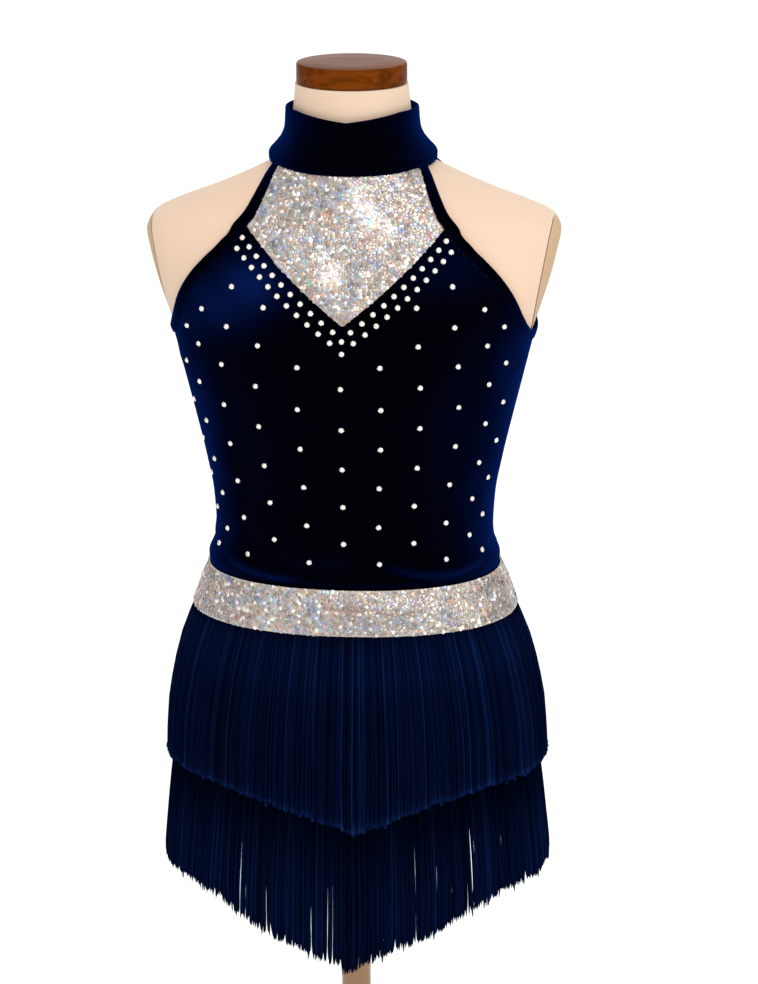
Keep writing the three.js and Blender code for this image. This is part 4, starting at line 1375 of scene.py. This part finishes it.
def strand_guides(tier):
    """A tier's strands as chains of edges, with their own number, freedom, girth and shade."""
    chance = np.random.default_rng(tier["seed"])
    settings = bpy.context.scene.dress_cloth
    reach_at, hem_at, shade_at = (through(tier[key], 1) for key in ("face", "hem", "shade"))
    count = int(ring_length(HIP, HANGING) * MM / settings.strand_pitch)
    t = STRAND_STEPS[None, :]
    girth = np.interp(t, *zip(*tier["tip"]))
    ends = np.cumsum(chance.uniform(*LOCKS["width"], 90))  # where locks part, round the body
    ends = np.concatenate([[0], ends[ends < 356], [360]])
    locks = len(ends) - 1
    pull = chance.uniform(*tier["gather"], locks) * (chance.random(locks) < LOCKS["drawn"]) + LOCKS["least"]
    start, uneven_lock = chance.uniform(*LOCKS["start"], locks), chance.normal(0, LOCKS["uneven"], locks)
    chains, tones, frees, girths, shades = [], [], [], [], []
    for layer in range(LAYERS["count"]):
        angle = even_angles(count, HIP, HANGING) + (LAYERS["turned"] * layer * 360 / count)
        angle = np.clip(angle + chance.normal(0, UNEVEN["angle"], count), 0, 359.99)[:, None]
        lock = np.searchsorted(ends, angle, side="right") - 1
        middle = (ends[lock] + ends[lock + 1]) / 2
        drawn = pull[lock] * np.clip((t - start[lock]) / (1 - start[lock]), 0, 1) ** 1.6
        uneven = uneven_lock[lock] + chance.normal(0, UNEVEN["end"], (count, 1))
        longer = (chance.random((count, 1)) < UNEVEN["long"]) * chance.exponential(tier["longer"], (count, 1))
        at = blend(middle, angle, 0.6) - HEM_TURN
        front = np.cos(np.radians(at))
        at = at - tier["aside"] * front**24 * np.sign(front)
        hem = hem_at(np.degrees(np.arcsin(np.abs(np.sin(np.radians(at))))))
        hem = hem + np.abs(uneven) * tier["ragged"] - np.minimum(longer, UNEVEN["longest"])
        z = blend(tier["top"], hem, t)
        lateral = chance.normal(0, UNEVEN["aside"], (count, 1)) * t
        lateral = lateral + chance.normal(0, UNEVEN["wave"], (count, 1)) * np.sin(t * 7 + 3)
        strays = chance.random((count, 1)) < STRAYS["share"]
        stray = strays * chance.normal(0, STRAYS["reach"], (count, 1)) * t**2.5
        around = blend(angle, middle, drawn) + (lateral * t + stray) / DEGREE
        depth = layer * LAYERS["apart"] + chance.normal(0, UNEVEN["depth"], (count, 1)) * t
        depth = depth + RIGHT_INWARDS * t * np.maximum(0, -np.sin(np.radians(angle)))
        chains.append(on_fringe(around, z, reach_at(z) - depth))
        tones.append(np.broadcast_to(chance.random((count, 1)), z.shape))
        frees.append(np.broadcast_to(t, z.shape))
        girths.append(np.broadcast_to(girth, z.shape))
        shades.append(np.broadcast_to(shade_at(t), z.shape))
    points = np.concatenate(chains).reshape(-1, 3)
    edges = [(k, k + 1) for k in range(len(points)) if (k + 1) % t.size]
    mesh = bpy.data.meshes.new("guides")
    mesh.from_pydata((points * MM).tolist(), edges, [])
    for name, values in (("strand", tones), ("free", frees), ("girth", girths), ("shade", shades)):
        mesh.attributes.new(name, "FLOAT", "POINT").data.foreach_set("value", np.concatenate(values).ravel())
    return mesh


def heading_tape(tier, angles):
    """The tape that a tier's strands are sewn into, as a closed ring."""
    top, foot = tier["top"] + TAPE["above"], tier["top"] - TAPE["below"]
    inner = OUTSIDE + SEAM
    corners = ((top, inner), (top, inner + TAPE["top"]), (foot, inner + TAPE["foot"]), (foot, inner))
    return np.stack([level_ring(angles, z, reach) for z, reach in corners], 1)


class DRESS_OT_skirt(bpy.types.Operator):
    """Sew the short skirt and hang both tiers of fringe on it"""

    bl_idname = "dress.skirt"
    bl_label = "Skirt and fringe"

    def execute(self, context):
        settings = context.scene.dress_cloth
        angles = np.arange(0, 360, 3.0)
        heights = np.linspace(SKIRT_FOOT, WAIST - SEAM, 28)[:, None]
        outer, inner = (on_cloth(angles[None, :], heights, lift) for lift in (OUTSIDE, EASE))
        skirt_mesh = wall("skirt_cloth", outer, inner, closed=True)
        skirt = piece("skirt_cloth", skirt_mesh, velvet_finish(), "velvet", "skirt_base")
        tree = group_once("hanging_strands", strand_tree)
        yarn = chainette_finish()
        fringes = []
        for name, tier in TIERS.items():
            values = {
                "Radius": settings.strand_radius,
                "Sides": 4,
                "Sway": tier["sway"] * MM,
                "Material": yarn,
            }
            strands = grown(f"fringe_{name}_strands", strand_guides(tier), tree, values)
            tape = sweep(f"fringe_{name}_tape", heading_tape(tier, angles), closed=True, sharp=50)
            fringes += [
                piece(f"fringe_{name}_strands", strands, yarn, "fringe", f"fringe_{name}"),
                piece(f"fringe_{name}_tape", tape, yarn, "fringe"),
            ]
        return {"FINISHED"}


# ---------------------------------------------------------------- crystals and stitches
def gem_mesh(radius):
    """A flat-backed crystal: a table, eight upper facets and a girdle, in metres."""
    turns = np.radians(np.arange(8) * 45)
    rings = []
    for share, height, twist in ((1.0, 0.0, 0), (1.0, 0.12, 0), (0.8, 0.4, 22.5), (0.46, 0.62, 0)):
        spin = turns + math.radians(twist)
        rings.append(np.stack([share * np.cos(spin), share * np.sin(spin), np.full(8, height)], -1))
    points = np.concatenate(rings) * radius
    faces = [tuple(range(7, -1, -1)), tuple(range(24, 32))]
    for i in range(8):
        k = (i + 1) % 8
        faces.append((i, k, 8 + k, 8 + i))
        faces += [(8 + i, 8 + k, 16 + i), (8 + k, 16 + k, 16 + i)]
        faces += [(16 + i, 24 + k, 24 + i), (16 + i, 16 + k, 24 + k)]
    mesh = bpy.data.meshes.new("gem")
    mesh.from_pydata(points.tolist(), [], faces)
    return mesh


def stitch_mesh(length_m, radius=0.00022):
    """One stitch: a short thread that dips at its ends."""
    spin = np.radians(np.arange(5) * 72)
    rings = []
    for x, height, size in ((-0.5, -0.3, 0.6), (-0.3, 0.6, 1), (0.3, 0.6, 1), (0.5, -0.3, 0.6)):
        across, up = size * radius * np.cos(spin), height * radius + size * radius * np.sin(spin)
        rings.append(np.stack([np.full(5, x * length_m), across, up], -1))
    return sweep("stitch", np.array(rings) / MM)


def placed(name, points, facing, heading, thing, material, uneven=0.0):
    """Copies of a small mesh on points in mm."""
    source = bpy.data.meshes.new("spots")
    source.from_pydata((points * MM).tolist(), [], [])
    for label, values in (("facing", facing), ("heading", heading)):
        source.attributes.new(label, "FLOAT_VECTOR", "POINT").data.foreach_set("vector", np.asarray(values).ravel())
    holder = bpy.data.objects.new("thing", thing)
    bpy.context.scene.collection.objects.link(holder)
    tree = group_once("placed_on_points", placed_tree)
    made = grown(name, source, tree, {"Thing": holder, "Uneven": uneven, "Material": material})
    bpy.data.objects.remove(holder)
    return made


def v_spots():
    """Two rows of crystals beside each edge of the V, closer together towards its corners, and two stones under it."""
    aside = V_STONES[0]
    spots = [(aside, INSET_TIP - drop) for drop in V_STONES[1:]]
    fine = np.linspace(0, 90, 3000)
    edge_z = inset_edge(fine)
    slope = np.gradient(edge_z, fine)
    across = np.stack([slope, -np.ones_like(slope)], -1) / np.hypot(slope, 1)[:, None]
    for row, drop in zip(V_ROWS, V_STONES[1:]):
        x, z = fine + across[:, 0] * row["out"], edge_z + across[:, 1] * row["out"]
        start = int(np.argmin(np.hypot(x, z - INSET_TIP + drop) + (x < 0) * 99))
        walked = np.concatenate([[0], np.cumsum(np.hypot(np.diff(x[start:]), np.diff(z[start:])))])
        walked += np.hypot(x[start], z[start] - INSET_TIP + drop)
        step = np.arange(row["count"])
        at = row["first"] + step * (row["pitch"] - row["closer"] * step)
        for side in (1, -1):
            spots += [(side * np.interp(a, walked, x[start:]) + aside, np.interp(a, walked, z[start:])) for a in at]
    return spots


def allowed(side, z):
    """Whether a scattered crystal is clear of the bodice's edges and of the rows beside the V."""
    side = abs(side)
    if side < 90 and z > BELOW_V and inset_edge(on_cloth(side, z, OUTSIDE)[0]) - z < V_CLEARANCE:
        return False
    if z < BELOW_ARMHOLE:
        return True
    edge = on_cloth(*armhole_edge(np.linspace(0, 1, 200)), OUTSIDE)
    here, hole = on_cloth(side, z, OUTSIDE), on_cloth(*ARMHOLE_MIDDLE, OUTSIDE)
    near = np.linalg.norm(edge - here, axis=1)
    k = int(np.argmin(near))
    outside = np.linalg.norm(here - hole) > np.linalg.norm(edge[k] - hole)
    return outside and near[k] > BINDING + EDGE_CLEARANCE and z < CRYSTALS_TOP


def grid_spots():
    """The scattered crystals: columns out from the middles of the front and back, every other one half a step off."""
    column_step, turned_by = through(COLUMN_STEP, 1), through(COLUMN_STEP, 2)
    fine = np.linspace(0, 88, 353)
    closer, power = COLUMNS["closer"]
    least, more = COLUMNS["turned"]
    level, over = COLUMNS["level"]
    spots = []
    for back in (False, True):
        for k in range(-5, 6):
            for z in ODD_ROWS if k % 2 else EVEN_ROWS:
                around = 180 - fine if back else fine
                walked = np.linalg.norm(np.diff(on_cloth(around, np.full(353, z), OUTSIDE), axis=0), axis=1).cumsum()
                reach = k * column_step(z) * (1 - closer * max(0, abs(k) - 1) ** power)
                reach -= turned_by(z) * min(1, least + more * abs(k)) * (-1 if back else 1)
                if abs(reach) < walked[-1] - 2:
                    side = float(np.interp(abs(reach), walked, fine[1:]))
                    rise = COLUMNS["climb"] * k - COLUMNS["lower"] * max(0, abs(k) - 2)
                    height = z + rise * float(ease((z - level) / over))
                    spots.append((math.copysign(180 - side if back else side, reach), height))
    return [(angle, z) for angle, z in spots if allowed(angle, z)]


class DRESS_OT_crystals(bpy.types.Operator):
    """Glue the crystals on, in rows beside the V and scattered over the bodice"""

    bl_idname = "dress.crystals"
    bl_label = "Crystals"

    def execute(self, context):
        settings = context.scene.dress_trim
        material = plain_finish("crystal_foil", settings.crystal_colour, Metallic=0.9, Roughness=0.16)
        gem = gem_mesh(settings.crystal_radius)
        x, z = np.array(v_spots(), float).T
        beside_v = (angle_at(x, z, OUTSIDE), z)
        scattered = np.array(grid_spots(), float).T
        for name, (angles, heights) in (("crystals_v", beside_v), ("crystals_scattered", scattered)):
            points = on_bodice(angles, heights, OUTSIDE + 0.05)
            step_round = on_bodice(angles + 0.5, heights, OUTSIDE) - on_bodice(angles - 0.5, heights, OUTSIDE)
            step_up = on_bodice(angles, heights + 1, OUTSIDE) - on_bodice(angles, heights - 1, OUTSIDE)
            mesh = placed(name, points, unit(np.cross(step_round, step_up)), unit(step_round), gem, material, 0.12)
            piece(name, mesh, material, "sequin_cloth")
        return {"FINISHED"}


def seam_line(points, facing, name, material):
    """Stitches along a line of points in mm."""
    walked = way_along(points)
    at = np.arange(STITCHING["spacing"] / 2, walked[-1], STITCHING["spacing"])

    def along(values, way):
        return np.stack([np.interp(way, walked, values[:, k]) for k in range(3)], 1)

    heading = unit(along(points, at + 0.4) - along(points, at - 0.4) + 1e-9)
    stitch = stitch_mesh(bpy.context.scene.dress_trim.stitch_length)
    return placed(name, along(points, at), unit(along(facing, at)), heading, stitch, material)


class DRESS_OT_stitches(bpy.types.Operator):
    """Sew the line of stitches along each armhole's binding"""

    bl_idname = "dress.stitches"
    bl_label = "Stitches"

    def execute(self, context):
        thread = plain_finish("navy_thread", (0.0008, 0.002, 0.012), Roughness=0.7, Specular_IOR_Level=0.0)
        shares = np.linspace(0.03, 0.97, 400)
        for name, side in (("left", 1), ("right", -1)):
            angle, z = inside_armhole(shares, STITCHING["inwards"])
            line = on_cloth(side * angle, z, EASE + STITCHING["lift"])
            mesh = seam_line(line, outward(side * angle, z), f"stitches_armhole_{name}", thread)
            piece(f"stitches_armhole_{name}", mesh, thread, "velvet")
        return {"FINISHED"}


# ---------------------------------------------------------------- form and stand
def cut_form(mesh, side, keep_arm, gap):
    """Cuts the form by an arm plate's plane and closes the cut. Keeps the arm's side or the body's."""
    lean = math.radians(ARM_PLATE["lean"])
    normal = Vector((side * math.cos(lean), 0, -math.sin(lean)))
    point = Vector((side * ARM_PLATE["reach"], 0, ARM_PLATE["height"])) * MM + normal * gap * MM
    edit = bmesh.new()
    edit.from_mesh(mesh)
    parts = list(edit.verts) + list(edit.edges) + list(edit.faces)
    cut = bmesh.ops.bisect_plane(
        edit, geom=parts, plane_co=point, plane_no=normal, clear_outer=not keep_arm, clear_inner=keep_arm
    )
    edges = [item for item in cut["geom_cut"] if isinstance(item, bmesh.types.BMEdge)]
    bmesh.ops.holes_fill(edit, edges=edges)
    edit.to_mesh(mesh)
    edit.free()
    return mesh


class DRESS_OT_form(bpy.types.Operator):
    """Cover the form with linen jersey, with an oval plate at each arm"""

    bl_idname = "dress.form"
    bl_label = "Dress form"

    def execute(self, context):
        angles = np.arange(0, 360, 2.5)
        heights = np.concatenate([np.arange(350, 372, 1.5), np.arange(372, 800, 4.0), np.arange(800, 885, 1.5)])
        heights = np.concatenate([heights, np.arange(885, NECK_TOP, 3.0), [NECK_TOP]])
        rings = on_form(angles[None, :], heights[:, None])
        linen = linen_finish()
        # The plates' darker jersey is painted shade: the same cover, darker where the plates turn from the light.
        plate = plain_finish("plate_jersey_painted_shade", (0.5, 0.34, 0.21), Roughness=0.85, Specular_IOR_Level=0.15)
        body = sweep("form_body", rings, sharp=50)
        gap = ARM_PLATE["gap"]
        plates = {name: cut_form(body.copy(), side, True, gap) for name, side in (("left", 1), ("right", -1))}
        for side in (1, -1):
            cut_form(body, side, False, -gap)
        body.set_sharp_from_angle(angle=math.radians(40))
        piece("form_body", body, linen, "form_cover", "form_torso")
        for name, mesh in plates.items():
            mesh.name = f"form_plate_{name}"
            mesh.set_sharp_from_angle(angle=math.radians(40))
            piece(f"form_plate_{name}", mesh, plate, "form_cover", f"form_arm_plate_{name}")
        return {"FINISHED"}


class DRESS_OT_stand(bpy.types.Operator):
    """Turn the neck cap, the pole, its socket and the base"""

    bl_idname = "dress.stand"
    bl_label = "Cap and stand"

    def execute(self, context):
        foot = NECK_TOP + SEAM
        head = foot + CAP_HEIGHT
        r = CAP_RADIUS
        soft = [(CAP_EDGE * (1 - math.cos(t)), CAP_EDGE * (1 - math.sin(t))) for t in np.radians((0, 30, 60, 90))]
        cap = [(AXIS, foot), *[(r - a, foot + b) for a, b in soft[::-1]]]
        cap += [(r - a, head - b) for a, b in soft] + [(r * 0.5, head), (AXIS, head)]
        middle = FORM[-1][4]
        piece("cap_wood", turned("cap_wood", cap, 96, middle), wood_finish(), "wood", "neck_cap")
        steel = steel_finish()
        pole = [(AXIS, POLE_FOOT), (POLE_RADIUS, POLE_FOOT), (POLE_RADIUS, POLE_TOP), (AXIS, POLE_TOP)]
        piece("pole_tube", turned("pole_tube", pole, 64), steel, "metal", "pole")
        base = [
            (AXIS, 0),
            (BASE_RADIUS - 1.5, 0),
            (BASE_RADIUS - 0.4, 0.5),
            (BASE_RADIUS, 1.6),
            (BASE_RADIUS, BASE_RIM - 2.4),
            (BASE_RADIUS - 0.6, BASE_RIM - 1),
            (BASE_RADIUS - 2.5, BASE_RIM),
            (120, 9.4),
            (70, 11.3),
            (SOCKET_RADIUS + 30, BASE_CROWN),
            (AXIS, BASE_CROWN),
        ]
        piece("base_plate", turned("base_plate", base, 128, sharp=40), steel, "metal", "stand_base")
        bore = POLE_RADIUS + SEAM
        socket = [
            (bore, BASE_CROWN),
            (SOCKET_RADIUS + 6, BASE_CROWN),
            (SOCKET_RADIUS + 5.4, BASE_CROWN + 1.5),
            (SOCKET_RADIUS + 2, BASE_CROWN + 4),
            (SOCKET_RADIUS, BASE_CROWN + 7),
            (SOCKET_RADIUS - 2, SOCKET_TOP - 2),
            (SOCKET_RADIUS - 2.6, SOCKET_TOP - 0.6),
            (SOCKET_RADIUS - 4, SOCKET_TOP),
            (bore, SOCKET_TOP),
        ]
        radius, height = np.array(socket, float).T
        angle = np.radians(np.arange(64) * 360 / 64)[:, None]
        rings = np.stack(np.broadcast_arrays(radius * np.sin(angle), -radius * np.cos(angle), height), -1)
        mesh = sweep("pole_socket_ring", rings, closed=True, sharp=35)
        piece("pole_socket_ring", mesh, steel, "metal", "pole_socket")
        return {"FINISHED"}


# ---------------------------------------------------------------- stage
def area_light(name, place, aim, size, power):
    data = bpy.data.lights.new(name, "AREA")
    data.shape = "RECTANGLE"
    data.size, data.size_y = size
    data.energy = power
    lamp = bpy.data.objects.new(name, data)
    lamp.location = place
    lamp.rotation_euler = (Vector(aim) - Vector(place)).to_track_quat("-Z", "Y").to_euler()
    bpy.context.scene.collection.objects.link(lamp)


class DRESS_OT_stage(bpy.types.Operator):
    """Set up the floor, the lights and the camera"""

    bl_idname = "dress.stage"
    bl_label = "Stage"

    def execute(self, context):
        scene = context.scene
        settings = scene.dress_stage
        camera = bpy.data.objects.new("camera", bpy.data.cameras.new("camera"))
        scene.collection.objects.link(camera)
        scene.camera = camera
        turn = settings.camera_turn
        reach = settings.camera_distance
        camera.location = (reach * math.sin(turn), -reach * math.cos(turn), settings.camera_height)
        view = Matrix.Rotation(turn - settings.camera_yaw, 4, "Z")
        view @= Matrix.Rotation(math.radians(90) - settings.camera_pitch, 4, "X")
        view @= Matrix.Rotation(settings.camera_roll, 4, "Z")
        camera.rotation_euler = view.to_euler()
        camera.data.lens = settings.camera_lens
        camera.data.sensor_width = 36
        camera.data.clip_end = 50

        far = 9e3
        corners = [(-far, -far, 0), (far, -far, 0), (far, far, 0), (-far, far, 0)]
        floor = bpy.data.objects.new("floor", mesh_from("floor", corners, [(0, 1, 2, 3)]))
        floor.data.materials.append(plain_finish("pale_floor", settings.floor_colour, Roughness=0.9))
        scene.collection.objects.link(floor)

        world = bpy.data.worlds.new("studio")
        scene.world = world
        world.use_nodes = True
        sky, backdrop = Tree(world.node_tree), world.node_tree.nodes["Background"]
        place = sky.add("ShaderNodeSeparateXYZ", Vector=sky.add("ShaderNodeTexCoord").outputs["Generated"])
        aside = sky.sum("POWER", sky.sum("ABSOLUTE", place.outputs["X"], 0.0), 1.5)
        bright = sky.sum("SUBTRACT", 1.5, sky.sum("MULTIPLY", aside, 1.15))  # darker at both sides
        sky.join(bright, backdrop.inputs["Strength"])
        backdrop.inputs["Color"].default_value = rgba(WHITE)
        aim = (0, 0, 0.6)
        area_light("key", (0.9, -2.1, 2.1), aim, (1.0, 1.2), 16)
        area_light("right_side", (2.0, -0.5, 1.2), aim, (0.7, 1.8), 8)
        area_light("left_side", (-2.0, -0.3, 1.1), aim, (0.7, 1.8), 3)
        scene.view_settings.view_transform = "Standard"
        return {"FINISHED"}


# ---------------------------------------------------------------- add-on
GROUPS = (
    ("dress_cloth", DressClothSettings),
    ("dress_trim", DressTrimSettings),
    ("dress_form", DressFormSettings),
    ("dress_stage", DressStageSettings),
)
OPERATORS = (
    DRESS_OT_stage,
    DRESS_OT_form,
    DRESS_OT_stand,
    DRESS_OT_bodice,
    DRESS_OT_bindings,
    DRESS_OT_inset,
    DRESS_OT_collar,
    DRESS_OT_skirt,
    DRESS_OT_belt,
    DRESS_OT_crystals,
    DRESS_OT_stitches,
)


class DRESS_PT_panel(bpy.types.Panel):
    """The dress's settings and pieces"""

    bl_idname = "DRESS_PT_panel"
    bl_label = "Dance dress"
    bl_space_type = "VIEW_3D"
    bl_region_type = "UI"
    bl_category = "Dance dress"

    def draw(self, context):
        for name, group in GROUPS:
            box = self.layout.box()
            box.label(text=group.__doc__)
            for key in group.__annotations__:
                box.prop(getattr(context.scene, name), key)
        for operator in OPERATORS:
            self.layout.operator(operator.bl_idname)


def register():
    for name, group in GROUPS:
        bpy.utils.register_class(group)
        setattr(bpy.types.Scene, name, bpy.props.PointerProperty(type=group))
    for kind in (*OPERATORS, DRESS_PT_panel):
        bpy.utils.register_class(kind)


def unregister():
    for kind in (DRESS_PT_panel, *reversed(OPERATORS)):
        bpy.utils.unregister_class(kind)
    for name, group in reversed(GROUPS):
        delattr(bpy.types.Scene, name)
        bpy.utils.unregister_class(group)


def main():
    register()
    for operator in OPERATORS:
        section, action = operator.bl_idname.split(".")
        getattr(getattr(bpy.ops, section), action)()


if __name__ == "__main__":
    main()
